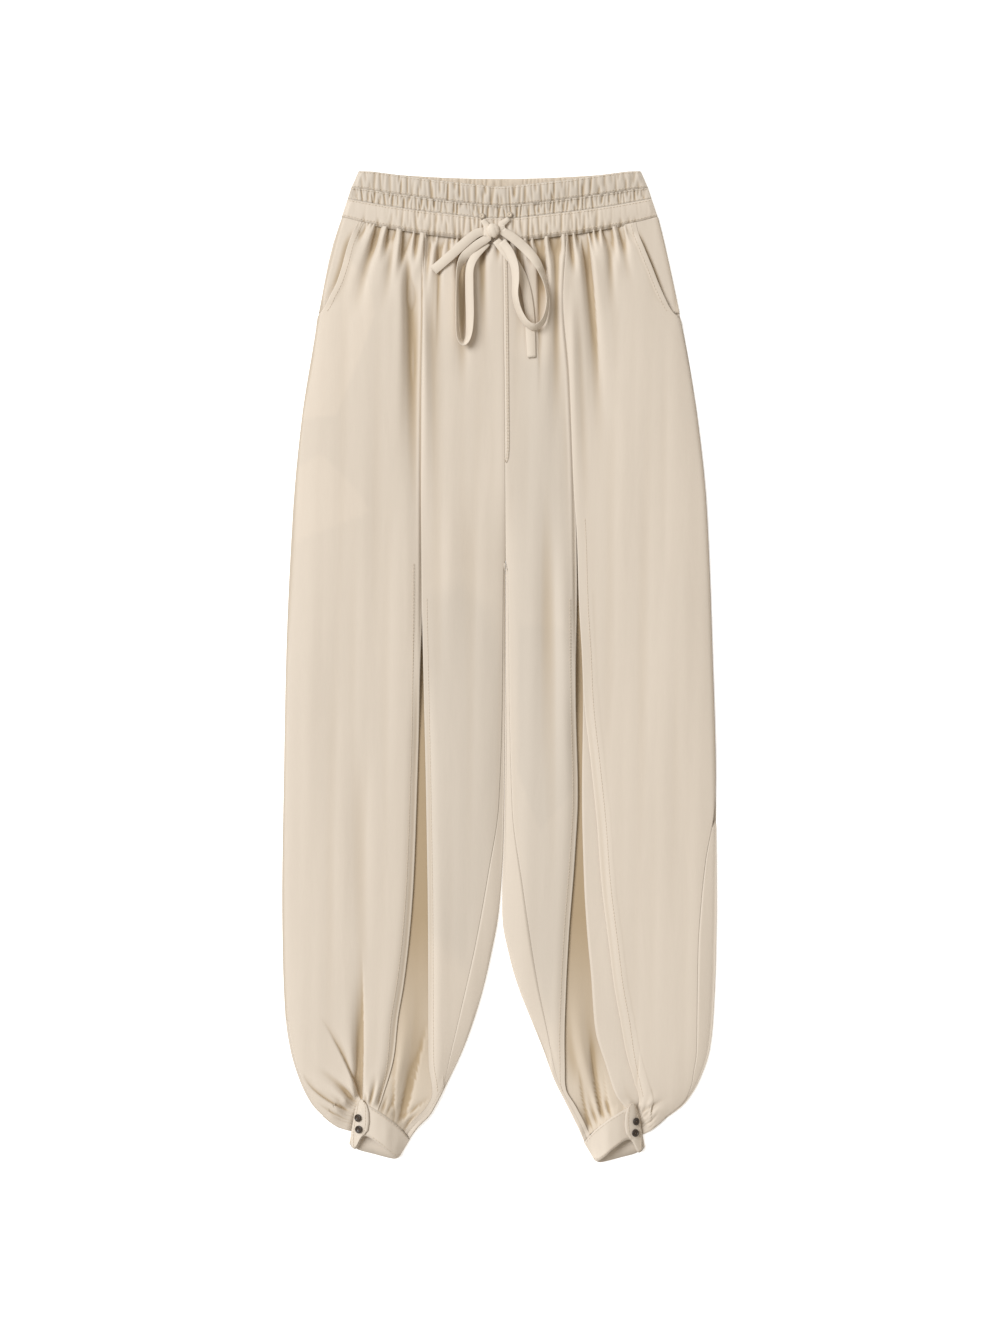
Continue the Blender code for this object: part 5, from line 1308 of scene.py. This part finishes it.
def make_back(leg):
    right = leg.side == "right"
    rows = np.unique(np.concatenate([
        np.arange(FIRST_ROW, 850, 12.0), np.arange(850, LAST_ROW, 4.0),
        [CROTCH - 1, CROTCH + 12, *WRAP_ROWS, LAST_ROW],
    ]))
    grid = []
    for row in rows:
        (outer_x, outer_down), (inner_x, inner_down) = leg.point("outline", row), leg.point("inner", row)
        shares = np.linspace(0, 1, 60)
        x = mix(outer_x - leg.sign * CLOTH * right, inner_x + leg.sign * CLOTH, shares)
        down = mix(outer_down, inner_down, shares)
        dip = 1 - float(ease((row - FIRST_ROW) / WAIST_BLEND))
        down = mix(down, row + back_waist_down("hem", x) + SEAM - FIRST_ROW, dip)
        bend = bend_share(row)
        low = along(leg.back_edge, shares)
        bent = bend * (low - mix(low[0], low[-1], shares[:, None]))
        x, down = x + bent[:, 0], down + bent[:, 1]
        line = list(zip(x, down, np.zeros(len(x))))
        line += edge_path(leg, "inner", "inseam", row, row > CROTCH)
        if right:
            wraps = SIDE_WRAP[0] < row < SIDE_WRAP[1]
            line = edge_path(leg, "outline", "pocket", row, wraps)[::-1] + line
        grid.append(line)
    piece = grid_piece(f"back_{leg.side}_cloth", np.array(grid), front_cloth(), up=False)
    give_wall(piece)
    finish_cloth(piece, [f"back_{leg.side}"])


def wrinkles(piece, x, across, shift=0):
    """How far the elastic's wrinkles lower a channel of the waistband."""
    random = np.random.default_rng(piece.seed + shift)
    half = WAIST[piece.lower].half_width
    total = np.zeros(np.broadcast(x, across).shape)
    for k in range(piece.wrinkles):
        centre = -half + 2 * half * (k + random.uniform(0.15, 0.85)) / piece.wrinkles
        depth = piece.depth * random.uniform(0.35, 1.25)
        width = piece.width * random.uniform(0.7, 1.4)
        lean, reach = random.uniform(-2.0, 2.0), random.uniform(0.55, 1.5)
        from_edge = across if random.random() < 0.5 else 1 - across
        fade = ease((reach - from_edge) / 0.4)
        smooth = 1 - piece.smooth_ends * float(ease((abs(centre) / half - 0.45) / 0.35))
        total += smooth * depth * fade * np.exp(-(((x - centre - lean * across) / width) ** 2))
    return total


def waist_grid(piece, back):
    upper_line, lower_line = WAIST[piece.upper], WAIST[piece.lower]
    shares = np.linspace(-1, 1, 460)
    grid = []
    for across in np.linspace(0, 1, 11):
        half = mix(upper_line.half_width, lower_line.half_width, across)
        gap = SEAM / 2 * (1 if across < 0.5 else -1) * (across in (0.0, 1.0))
        x = shares * half
        edge = np.clip((1 - np.abs(shares)) / 0.03, 0, 1)
        rounded = math.sin(math.pi * across) ** 0.6
        depth = wrinkles(piece, x, across, 50 if back else 0)
        if back:
            lines = [line.side + line.back_dip * (1 - shares**2) for line in (upper_line, lower_line)]
            down = mix(*lines, across) + gap
            height = 1.1 + edge * (0.5 * rounded - 0.35 * depth)
            height = np.maximum(height, SHELL + 0.05)
        else:
            lines = [np.interp(np.abs(shares), WAIST_SHARES, line.down) for line in (upper_line, lower_line)]
            down = mix(*lines, across) + gap
            puff = piece.puff * rounded - depth * mix(0.65, 1.0, rounded)
            height = waist_height(shares) + edge * puff - (1 - edge) * 0.9
            if piece.lower == "hem":
                pulled = np.minimum(gather_depth(x, hem_down(x)) / 3, 1)
                height -= edge * 1.2 * ease((across - 0.6) / 0.4) * pulled
            height = np.maximum(height, 1.8)
        grid.append(np.stack([x, down, height], axis=-1))
    if not back:
        for past, drop in ((0.15, 0.7), (ALLOWANCE, 0.85)):
            grid.append(grid[10] + np.array([0, past, -drop]))
    return np.array(grid)


def make_waist(piece):
    """One channel of the waistband, front and back."""
    for back, part in ((False, "front"), (True, "back")):
        # the back of the waistband, seen inside the waist, takes the shaded cloth: painted shade
        material = shaded_cloth() if back else front_cloth()
        grid = waist_grid(piece, back)
        tone = np.full(grid.shape[:2], -0.9 if piece.lower != "hem" and not back else 0.0)
        obj = grid_piece(f"{piece.name}_{part}_cloth", grid, material, tone=tone)
        give_wall(obj)
        height = WAIST[piece.lower].side - WAIST[piece.upper].side + (3.0 if not back else 1.5)
        finish_cloth(obj, [f"{piece.name}_{part}"],
                     flat=(2 * WAIST[piece.lower].half_width * 1.25, height * 1.05))


def cuff_places(leg, section, across, inside=False):
    """Points of the cuff's outer or inner face, at a place in the table of sections."""
    rows = np.array(CUFF, float)
    at = np.atleast_1d(np.asarray(section, float))
    k = np.floor(at).astype(int)
    t = (at - k)[:, None]
    row = between(*(rows[(k + step) % len(rows)] for step in (-1, 0, 1, 2)), t)
    x, down = mix(row[:, 0], row[:, 2], across), mix(row[:, 1], row[:, 3], across)
    z = np.maximum(row[:, 4], 0.0)
    if inside:
        x, z = x + row[:, 5], z + row[:, 6]
        z = np.maximum(z, CLOTH)
    if leg.sign > 0:
        x, down = -x + CUFF_SHIFT[0], down + CUFF_SHIFT[1]
    return np.stack([x, down, z], axis=-1)


def cuff_normal(leg, section, across):
    """Unit vector out of the cuff's face, in table coordinates."""
    step = 0.04
    round_cuff = (cuff_places(leg, section + step, across) - cuff_places(leg, section - step, across))[0]
    over_cuff = (cuff_places(leg, section, across + step) - cuff_places(leg, section, across - step))[0]
    normal = np.cross(round_cuff, over_cuff)
    normal *= math.copysign(1.0, normal[2])
    return normal / np.linalg.norm(normal)


def make_cuff(leg):
    """The cuff: outer face, edges and inner face as one closed skin."""
    sections = np.arange(0, len(CUFF), 1 / 12)
    rows = [(across, False) for across in np.linspace(0, 1, 9)]
    rows += [(across, True) for across in np.linspace(1, 0, 5)]
    grid = []
    for across, inside in rows:
        places = cuff_places(leg, sections, across, inside)
        pull = 0.25 * np.sin(sections * 5.1 + 2.0 * across) * np.sin(math.pi * across)
        places[:, 2] += np.where(places[:, 2] > 3, pull, 0.0)
        grid.append(places)
    grid.append(grid[0].copy())
    piece = grid_piece(f"cuff_{leg.side}_cloth", np.array(grid), front_cloth(), closed=True, up=None)
    weld(piece)
    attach(piece, "root")
    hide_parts(f"cuff_{leg.side}")


def weld(obj):
    """Closes the line where a skin meets itself."""
    tidy = bmesh.new()
    tidy.from_mesh(obj.data)
    bmesh.ops.remove_doubles(tidy, verts=tidy.verts, dist=0.00001)
    bmesh.ops.recalc_face_normals(tidy, faces=tidy.faces)
    tidy.to_mesh(obj.data)
    tidy.free()


def make_tab(leg):
    rows = curve_rows([(row.across, row.first, row.last) for row in TAB], 4)
    grid = []
    for across, first, last in rows:
        line = []
        for share in np.linspace(0, 1, 14):
            section = mix(first, last, share)
            lift = TAB_LIFT + CLOTH - 0.25 * (abs(2 * share - 1) ** 4)
            line.append(cuff_places(leg, section, across)[0] + lift * cuff_normal(leg, section, across))
        grid.append(line)
    piece = grid_piece(f"cuff_tab_{leg.side}_cloth", np.array(grid), front_cloth())
    give_wall(piece, 0.9)
    finish_cloth(piece, [f"cuff_tab_{leg.side}"], flat=(22, 46))


def curve_rows(rows, steps):
    """Rows with even steps put in between by straight lines."""
    rows = np.array(rows, float)
    at = np.linspace(0, len(rows) - 1, (len(rows) - 1) * steps + 1)
    return [[np.interp(value, range(len(rows)), column) for column in rows.T] for value in at]


def make_button(leg, name, across, section):
    """A four-hole button with a raised rim and its thread."""
    normal = cuff_normal(leg, section, across)
    foot = cuff_places(leg, section, across)[0] + (TAB_LIFT + CLOTH + SEAM + 0.25) * normal
    trim = settings()[1]
    mesh = bpy.data.meshes.new(f"button_{leg.side}_{name}_turned")
    bm = bmesh.new()
    profile = [bm.verts.new((radius * MM, 0, z * MM)) for radius, z in BUTTON_PROFILE]
    edges = [bm.edges.new(pair) for pair in zip(profile, profile[1:])]
    bmesh.ops.spin(bm, geom=profile + edges, cent=(0, 0, 0), axis=(0, 0, 1), angle=2 * math.pi, steps=40)
    for hole in range(4):
        angle = math.pi / 4 + hole * math.pi / 2
        at = Vector((math.cos(angle), math.sin(angle), 0)) * BUTTON_HOLE_SPREAD * MM
        disc = bmesh.ops.create_circle(bm, cap_ends=True, segments=14, radius=BUTTON_HOLE_RADIUS * MM)
        bmesh.ops.translate(bm, verts=disc["verts"], vec=at + Vector((0, 0, BUTTON_HOLE_HEIGHT * MM)))
        # each hole is a flat disc in a near-black copy of the horn: painted shade where the hole is
        for face in {face for vert in disc["verts"] for face in vert.link_faces}:
            face.material_index = 1
    for turn in (0.25, 0.75):
        radius = BUTTON_THREAD_RADIUS * MM
        thread = bmesh.ops.create_cone(bm, cap_ends=True, segments=8, radius1=radius, radius2=radius,
                                       depth=2 * BUTTON_HOLE_SPREAD * MM)
        for vert in thread["verts"]:
            x, y, z = vert.co
            vert.co = Vector((z, x, y))
        cos, sin = math.cos(turn * math.pi), math.sin(turn * math.pi)
        for vert in thread["verts"]:
            x, y, z = vert.co
            vert.co = Vector((x * cos - y * sin, x * sin + y * cos, z + BUTTON_THREAD_HEIGHT * MM))
        for face in {face for vert in thread["verts"] for face in vert.link_faces}:
            face.material_index = 2
    bmesh.ops.remove_doubles(bm, verts=bm.verts, dist=0.00001)
    bmesh.ops.recalc_face_normals(bm, faces=bm.faces)
    out = Vector((normal[0], -normal[1], normal[2]))
    matrix = out.to_track_quat("Z", "Y").to_matrix().to_4x4()
    matrix.translation = place(*foot)
    bm.transform(matrix)
    bm.to_mesh(mesh)
    bm.free()
    obj = link(f"button_{leg.side}_{name}_turned", mesh, trim_material("Dark horn", trim.button, 0.28))
    # painted shade: the near-black colour of the discs that stand for the holes
    mesh.materials.append(trim_material("Button hole painted shade", [0.35 * value for value in trim.button], 0.6))
    mesh.materials.append(trim_material("Button thread", [3.5 * value for value in trim.button], 0.7))
    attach(obj, "root")
    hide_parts(f"button_{leg.side}_{name}")


def make_placket():
    grid = []
    widths = curve(PLACKET)
    for row in np.linspace(PLACKET[0][0], PLACKET[-1][0], 120):
        left = RIGHT.lines["inner"](row) + 0.5
        x = mix(left, float(widths(row)), np.linspace(0, 1, 8))
        down = np.full_like(x, row)
        top = front_top(RIGHT, x, down).max() + 0.45 - 0.35 * np.abs(np.linspace(-1, 1, 8)) ** 3
        grid.append(np.stack([x, down, top], axis=-1))
    piece = grid_piece("fly_placket_cloth", np.array(grid), front_cloth())
    give_wall(piece, 0.8)
    finish_cloth(piece, ["fly_placket"], flat=(10, 225))


def tape_line(points):
    """Even steps along a smooth curve through a tape's points: one row of numbers for each step."""
    rows = np.array(points, float)
    reach = np.concatenate([[0], np.cumsum(np.hypot(*np.diff(rows[:, :2], axis=0).T))])
    count = max(4, int(reach[-1] / TAPE_STEP))
    where = np.linspace(0, reach[-1], count + 1)
    ends = np.vstack([2 * rows[0] - rows[1], rows, 2 * rows[-1] - rows[-2]])
    k = np.clip(np.searchsorted(reach, where, side="right") - 1, 0, len(rows) - 2)
    t = ((where - reach[k]) / (reach[k + 1] - reach[k]))[:, None]
    return between(*(ends[k + step] for step in range(4)), t)


def tape_heights(line):
    """Height of the tape's middle: it rests on the highest cloth under its width."""
    run = directions(line[:, :2])
    heights = []
    for (x, down, lift, turn, width), (run_x, run_down) in zip(line, run):
        turn = math.radians(turn)
        flat = width / 2 * math.cos(turn)
        under = [
            cloth_top(x - run_down * side + run_x * ahead, down + run_x * side + run_down * ahead)
            for side in (-flat, 0, flat) for ahead in (-2.5, 2.5)
        ]
        half = width / 2 * math.sin(turn) + THIN / 2 * math.cos(turn)
        heights.append(max(under) + TAPE_CLEARANCE + half + lift)
    smooth = np.convolve(np.pad(heights, 3, mode="edge"), np.ones(7) / 7, mode="valid")
    return np.maximum(smooth, np.array(heights) - 0.3)


def tape_piece(name, *tables):
    """Flat tape with a rounded wall through one or more tables of points, and the line that it follows."""
    parts = []
    for table in tables:
        line = tape_line(table)
        parts.append(np.column_stack([line[:, :2], tape_heights(line), line[:, 3:]]))
    for k in range(len(parts) - 1, 0, -1):
        bridge = [mix(parts[k - 1][-1], parts[k][0], share) for share in np.linspace(0, 1, 8)[1:-1]]
        parts.insert(k, np.array(bridge))
    line = np.concatenate(parts)
    run = directions(line[:, :2])
    grid = []
    for (x, down, z, turn, width), (run_x, run_down) in zip(line, run):
        turn = math.radians(turn)
        side = np.array([-run_down * math.cos(turn), run_x * math.cos(turn), math.sin(turn)])
        out = np.array([run_down * math.sin(turn), -run_x * math.sin(turn), math.cos(turn)])
        ring = []
        for across, wall in ((-1, 0.3), (-0.92, 0.85), (0, 1.0), (0.92, 0.85), (1, 0.3), (1, -0.3),
                             (0.92, -0.85), (0, -1.0), (-0.92, -0.85), (-1, -0.3)):
            ring.append(np.array([x, down, z]) + side * across * width / 2 + out * wall * THIN / 2)
        grid.append(ring)
    obj = grid_piece(name, np.array(grid), tape_cloth(), closed=True, up=None, caps=True)
    return obj, [place(*at) for at in line[:, :3]]


def make_knot():
    """The bow's knot: two turns of tape pulled tight."""
    bm = bmesh.new()
    bmesh.ops.create_uvsphere(bm, u_segments=48, v_segments=32, radius=1.0)
    z = cloth_top(*KNOT) + TAPE_CLEARANCE + KNOT_RADII[2]
    for vert in bm.verts:
        x, y = vert.co.xy
        turn = math.exp(-((x + 0.35 * y) / 0.42) ** 2)
        crease = sum(math.exp(-(((x + 0.35 * y + at) / 0.09) ** 2)) for at in (-0.45, 0.45))
        crease += 0.6 * math.exp(-(((y - 0.3 * x) / 0.08) ** 2)) * (1 - turn)
        vert.co *= 0.93 + 0.07 * turn - 0.06 * crease
        vert.co = vert.co * Vector(KNOT_RADII) * MM
        vert.co += place(KNOT[0], KNOT[1], z)
    mesh = bpy.data.meshes.new("drawstring_knot_tape")
    bm.to_mesh(mesh)
    bm.free()
    obj = link("drawstring_knot_tape", mesh, tape_cloth())
    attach(obj, "root")
    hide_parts("drawstring_knot")
    return obj


def make_drawstring():
    """The tape from each eyelet through the knot into its loop, and the two free ends."""
    make_knot()
    for side in ("left", "right"):
        loop = [f"drawstring_strand_{side}", f"drawstring_loop_{side}"]
        end = [f"drawstring_end_{side}"]
        for name, nodes, far_end in (
            (f"drawstring_{side}_tape", loop, "knot"), (f"drawstring_end_{side}_tape", end, "bare"),
        ):
            tape, path = tape_piece(name, *(TAPES[node] for node in nodes))
            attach(tape, "root")
            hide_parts(*nodes)


def stitch_tree():
    """Geometry Nodes that sew a row of stitches along every line of a mesh."""
    tree = bpy.data.node_groups.new("Stitches", "GeometryNodeTree")
    sockets = {}
    for name, kind, default in (
        ("Geometry", "NodeSocketGeometry", None), ("Stitch Length", "NodeSocketFloat", 0.0024),
        ("Gap", "NodeSocketFloat", 0.0009), ("Thread Radius", "NodeSocketFloat", 0.0003),
        ("Thread", "NodeSocketMaterial", None),
    ):
        socket = tree.interface.new_socket(name, in_out="INPUT", socket_type=kind)
        sockets[name] = socket.identifier
        if default is not None:
            socket.default_value = default
    tree.interface.new_socket("Geometry", in_out="OUTPUT", socket_type="NodeSocketGeometry")
    given, result = tree.nodes.new("NodeGroupInput"), tree.nodes.new("NodeGroupOutput")
    pitch = calculate(tree, "ADD", given.outputs["Stitch Length"], given.outputs["Gap"])
    lines = add_node(tree, "GeometryNodeMeshToCurve", (("Mesh", given.outputs["Geometry"]),))
    points = add_node(tree, "GeometryNodeCurveToPoints", (
        ("Curve", lines.outputs["Curve"]), ("Length", pitch),
    ), mode="LENGTH")
    stitch = add_node(tree, "GeometryNodeMeshCylinder", (
        ("Vertices", 6), ("Radius", given.outputs["Thread Radius"]),
        ("Depth", given.outputs["Stitch Length"]),
    ))
    turned = add_node(tree, "FunctionNodeAlignRotationToVector", (
        ("Vector", points.outputs["Tangent"]),
    ), axis="Z")
    sewn = add_node(tree, "GeometryNodeInstanceOnPoints", (
        ("Points", points.outputs["Points"]), ("Instance", stitch.outputs["Mesh"]),
        ("Rotation", turned.outputs["Rotation"]),
    ))
    real = add_node(tree, "GeometryNodeRealizeInstances", (("Geometry", sewn.outputs["Instances"]),))
    painted = add_node(tree, "GeometryNodeSetMaterial", (
        ("Geometry", real.outputs["Geometry"]), ("Material", given.outputs["Thread"]),
    ))
    tree.links.new(painted.outputs["Geometry"], result.inputs["Geometry"])
    return tree, sockets


def sew(name, lines, radius=0.26):
    """Sews along lines of table points, as one mesh."""
    trim = settings()[1]
    points, edges = [], []
    for line in lines:
        first = len(points)
        points += [tuple(place(*at)) for at in line]
        edges += [(first + k, first + k + 1) for k in range(len(line) - 1)]
    mesh = bpy.data.meshes.new(name)
    mesh.from_pydata(points, edges, [])
    guide = bpy.data.objects.new(name + "_line", mesh)
    bpy.context.scene.collection.objects.link(guide)
    tree, sockets = stitch_tree()
    modifier = guide.modifiers.new("stitches", "NODES")
    modifier.node_group = tree
    modifier[sockets["Stitch Length"]] = trim.stitch_length
    modifier[sockets["Gap"]] = trim.stitch_gap
    modifier[sockets["Thread Radius"]] = radius * MM
    modifier[sockets["Thread"]] = thread_material()
    bpy.context.view_layer.update()
    sewn = bpy.data.meshes.new_from_object(guide.evaluated_get(bpy.context.evaluated_depsgraph_get()))
    bpy.data.objects.remove(guide)
    sewn.name = name
    obj = bpy.data.objects.new(name, sewn)
    bpy.context.scene.collection.objects.link(obj)
    sewn.shade_smooth()
    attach(obj, "root")
    return obj


def on_front(leg, line):
    """Table points of a line laid on a front panel."""
    x, down = np.array(line, float).T
    return list(zip(x, down, front_top(leg, x, down) + STITCH_LIFT))


def seam_lines(leg):
    """Rows of stitches on one leg: the pleats' hems and the pocket's edge."""
    lines = []
    hem = 7.0 if leg.side == "left" else 9.0
    rows = np.arange(395 if leg.side == "left" else 350, 930, 5.0)
    away = leg.sign
    lines.append(on_front(leg, [(leg.point("pleat_outer", row)[0] + away * hem, row) for row in rows]))
    rows = np.arange(430, 925, 5.0)
    lines.append(on_front(leg, [(leg.point("pleat_inner", row)[0] - away * 5.0, row) for row in rows]))
    rows = np.arange(56, 141, 3.0)
    pocket = [(leg.lines["pocket"](row), row) for row in rows]
    lines.append(on_front(leg, [(x - away * 5.5, row) for x, row in pocket if row > hem_down(x) + 2]))
    return lines


def waist_stitch_lines():
    """Rows of stitches round the waistband's channels."""
    lines = []
    for piece in WAIST_PIECES:
        grid = waist_grid(piece, False)
        for row in (1, 9):
            lines.append([(x, down, z + STITCH_LIFT) for x, down, z in grid[row][4:-4:2]])
    return lines


def cuff_stitch_lines(leg):
    """Rows of stitches round the cuff's edges and the tab."""
    lines = []
    for across in (0.07, 0.93):
        for stretch in (np.arange(2.6, 5.7, 0.1), np.arange(0.3, 0.6, 0.1)):
            lift = np.array([0, 0, 0.15 + STITCH_LIFT])
            lines.append([tuple(cuff_places(leg, section, across)[0] + lift) for section in stretch])
    rows = curve_rows([(row.across, row.first, row.last) for row in TAB], 3)[1:-1]
    for pick in (0.12, 0.88):
        line = []
        for across, first, last in rows:
            section = mix(first, last, pick)
            lift = (TAB_LIFT + CLOTH + STITCH_LIFT) * cuff_normal(leg, section, across)
            line.append(tuple(cuff_places(leg, section, across)[0] + lift))
        lines.append(line)
    return lines


def fly_stitch_lines():
    """The curved row that marks the mock fly, and the bar at its end."""
    widths = curve(PLACKET)
    lines = []
    for inset in (1.2, 2.6):
        line = []
        for row in np.arange(78, 292, 3.0):
            x = float(widths(row)) - inset
            z = front_top(RIGHT, np.array([x]), np.array([row]))[0] + 0.55
            line.append((x, row, z))
        lines.append(line)
    z = front_height(RIGHT, np.array([6.5]), np.array([294.0]))[0] + 0.5
    lines.append([(x, 294.0, z + 0.3) for x in (3.5, 5.0, 6.5, 8.0, 9.5)])
    return lines


def eyelet_lines(side):
    """A ring of stitches round an eyelet, one short line for each."""
    x, down = EYELETS[side]
    z = float(waist_height(x / 150)) + 1.75
    lines = []
    for k in range(22):
        angle = 2 * math.pi * k / 22
        lines.append([(x + r * math.cos(angle), down + r * math.sin(angle), z) for r in (1.5, 2.9)])
    return lines


def make_eyelet(side):
    """The worked ring and, for its hole, a flat dark disc: painted shade."""
    x, down = EYELETS[side]
    z = float(waist_height(x / 150)) + 1.5
    bm = bmesh.new()
    hole = bmesh.ops.create_circle(bm, cap_ends=True, segments=24, radius=1.7 * MM)
    bmesh.ops.translate(bm, verts=hole["verts"], vec=place(x, down, z + 0.12))
    mesh = bpy.data.meshes.new(f"eyelet_{side}_hole")
    bm.to_mesh(mesh)
    bm.free()
    trim = settings()[1]
    # painted shade: the dark colour of the disc that stands for the hole
    dark = trim_material("Eyelet hole painted shade", [1.6 * value for value in trim.button], 0.8)
    obj = link(f"eyelet_{side}_hole", mesh, dark)
    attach(obj, "root")
    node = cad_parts[f"eyelet_{side}"]
    for slot in node.material_slots:
        slot.material = trim_material("Worked eyelet", [0.55 * value for value in settings()[0].thread], 0.7)


def make_stage():
    """Table, light and the camera straight above."""
    stage = settings()[2]
    mesh = bpy.data.meshes.new("table")
    bm = bmesh.new()
    bmesh.ops.create_grid(bm, x_segments=2, y_segments=2, size=14.0)
    bm.to_mesh(mesh)
    bm.free()
    floor = link("table", mesh, trim_material("Pale table", stage.floor, 0.9, 0.01))
    shader = mesh.materials[0].node_tree.nodes["Principled BSDF"]
    shader.inputs["Emission Color"].default_value = (1, 1, 1, 1)
    shader.inputs["Emission Strength"].default_value = stage.glow
    floor.location.z = -0.0002
    world = bpy.context.scene.world or bpy.data.worlds.new("studio")
    bpy.context.scene.world = world
    world.use_nodes = True
    world.node_tree.nodes["Background"].inputs["Color"].default_value = (*SKY_COLOUR, 1)
    world.node_tree.nodes["Background"].inputs["Strength"].default_value = stage.sky
    light = bpy.data.lights.new("key", "SUN")
    light.energy = stage.key
    light.color = KEY_COLOUR
    light.angle = math.radians(KEY_SOFTNESS)
    key = bpy.data.objects.new("key", light)
    key.location = KEY_FROM
    key.rotation_euler = (-key.location).to_track_quat("-Z", "Y").to_euler()
    bpy.context.scene.collection.objects.link(key)
    camera = bpy.data.cameras.new("camera")
    camera.lens = LENS
    camera.sensor_width = SENSOR
    camera.clip_end = 50
    holder = bpy.data.objects.new("camera", camera)
    height = LENS / SENSOR * max(IMAGE_SIZE) * MM
    holder.location = place(*IMAGE_CENTRE, 5.0) + Vector((0, 0, height))
    bpy.context.scene.collection.objects.link(holder)
    bpy.context.scene.camera = holder
    bpy.context.scene.view_settings.view_transform = "Standard"


class TROUSERS_OT_waist(bpy.types.Operator):
    """Make the waistband's three channels, front and back"""

    bl_idname = "trousers.waist"
    bl_label = "Waistband"

    def execute(self, context):
        for piece in WAIST_PIECES:
            make_waist(piece)
        return {"FINISHED"}


class TROUSERS_OT_fronts(bpy.types.Operator):
    """Make the front panels with their gathers and pleats"""

    bl_idname = "trousers.fronts"
    bl_label = "Front panels"

    def execute(self, context):
        for leg in LEGS:
            make_front_panels(leg)
        return {"FINISHED"}


class TROUSERS_OT_backs(bpy.types.Operator):
    """Make the back panels"""

    bl_idname = "trousers.backs"
    bl_label = "Back panels"

    def execute(self, context):
        for leg in LEGS:
            make_back(leg)
        return {"FINISHED"}


class TROUSERS_OT_underlays(bpy.types.Operator):
    """Make the cloth inside the pleats and the facing strip"""

    bl_idname = "trousers.underlays"
    bl_label = "Pleat underlays"

    def execute(self, context):
        for leg in LEGS:
            make_underlay(leg)
        make_strip(RIGHT)
        return {"FINISHED"}


class TROUSERS_OT_pockets(bpy.types.Operator):
    """Make the pockets' side pieces and the mock fly"""

    bl_idname = "trousers.pockets"
    bl_label = "Pockets and fly"

    def execute(self, context):
        for leg in LEGS:
            make_side_piece(leg)
        make_placket()
        return {"FINISHED"}


class TROUSERS_OT_cuffs(bpy.types.Operator):
    """Make the cuffs and their pointed tabs"""

    bl_idname = "trousers.cuffs"
    bl_label = "Cuffs"

    def execute(self, context):
        for leg in LEGS:
            make_cuff(leg)
            make_tab(leg)
        return {"FINISHED"}


class TROUSERS_OT_buttons(bpy.types.Operator):
    """Make the buttons on the tabs"""

    bl_idname = "trousers.buttons"
    bl_label = "Buttons"

    def execute(self, context):
        for leg in LEGS:
            for name, (across, section) in BUTTONS.items():
                make_button(leg, name, across, section)
        return {"FINISHED"}


class TROUSERS_OT_drawstring(bpy.types.Operator):
    """Make the drawstring's bow and the eyelets"""

    bl_idname = "trousers.drawstring"
    bl_label = "Drawstring"

    def execute(self, context):
        make_drawstring()
        for side in EYELETS:
            make_eyelet(side)
        return {"FINISHED"}


class TROUSERS_OT_stitches(bpy.types.Operator):
    """Sew the visible rows of stitches"""

    bl_idname = "trousers.stitches"
    bl_label = "Stitches"

    def execute(self, context):
        sew("waist_stitches", waist_stitch_lines())
        sew("fly_stitches", fly_stitch_lines())
        for leg in LEGS:
            sew(f"leg_{leg.side}_stitches", seam_lines(leg))
            sew(f"cuff_{leg.side}_stitches", cuff_stitch_lines(leg), 0.2)
        for side in EYELETS:
            sew(f"eyelet_{side}_stitches", eyelet_lines(side), 0.3)
        return {"FINISHED"}


class TROUSERS_OT_stage(bpy.types.Operator):
    """Set the table, the light and the camera"""

    bl_idname = "trousers.stage"
    bl_label = "Stage"

    def execute(self, context):
        make_stage()
        return {"FINISHED"}


OPERATORS = (
    TROUSERS_OT_drawstring, TROUSERS_OT_waist, TROUSERS_OT_fronts, TROUSERS_OT_backs,
    TROUSERS_OT_underlays, TROUSERS_OT_pockets, TROUSERS_OT_cuffs, TROUSERS_OT_buttons,
    TROUSERS_OT_stitches, TROUSERS_OT_stage,
)


class TROUSERS_PT_panel(bpy.types.Panel):
    """Lists the pieces of the trousers and their settings"""

    bl_label = "Pleated Trousers"
    bl_idname = "TROUSERS_PT_panel"
    bl_space_type = "VIEW_3D"
    bl_region_type = "UI"
    bl_category = "Trousers"

    def draw(self, context):
        for group in settings():
            box = self.layout.box()
            for name in group.__annotations__:
                box.prop(group, name)
        for operator in OPERATORS:
            self.layout.operator(operator.bl_idname)


SETTINGS = {"trousers_cloth": ClothSettings, "trousers_trim": TrimSettings, "trousers_stage": StageSettings}
CLASSES = (*SETTINGS.values(), *OPERATORS, TROUSERS_PT_panel)


def register():
    for cls in CLASSES:
        bpy.utils.register_class(cls)
    for name, group in SETTINGS.items():
        setattr(bpy.types.Scene, name, bpy.props.PointerProperty(type=group))


def unregister():
    for name in SETTINGS:
        delattr(bpy.types.Scene, name)
    for cls in reversed(CLASSES):
        bpy.utils.unregister_class(cls)


def main():
    register()
    bpy.ops.trousers.stage()
    bpy.ops.trousers.drawstring()
    bpy.ops.trousers.waist()
    bpy.ops.trousers.fronts()
    bpy.ops.trousers.backs()
    bpy.ops.trousers.underlays()
    bpy.ops.trousers.pockets()
    bpy.ops.trousers.cuffs()
    bpy.ops.trousers.buttons()
    bpy.ops.trousers.stitches()


if __name__ == "__main__":
    main()
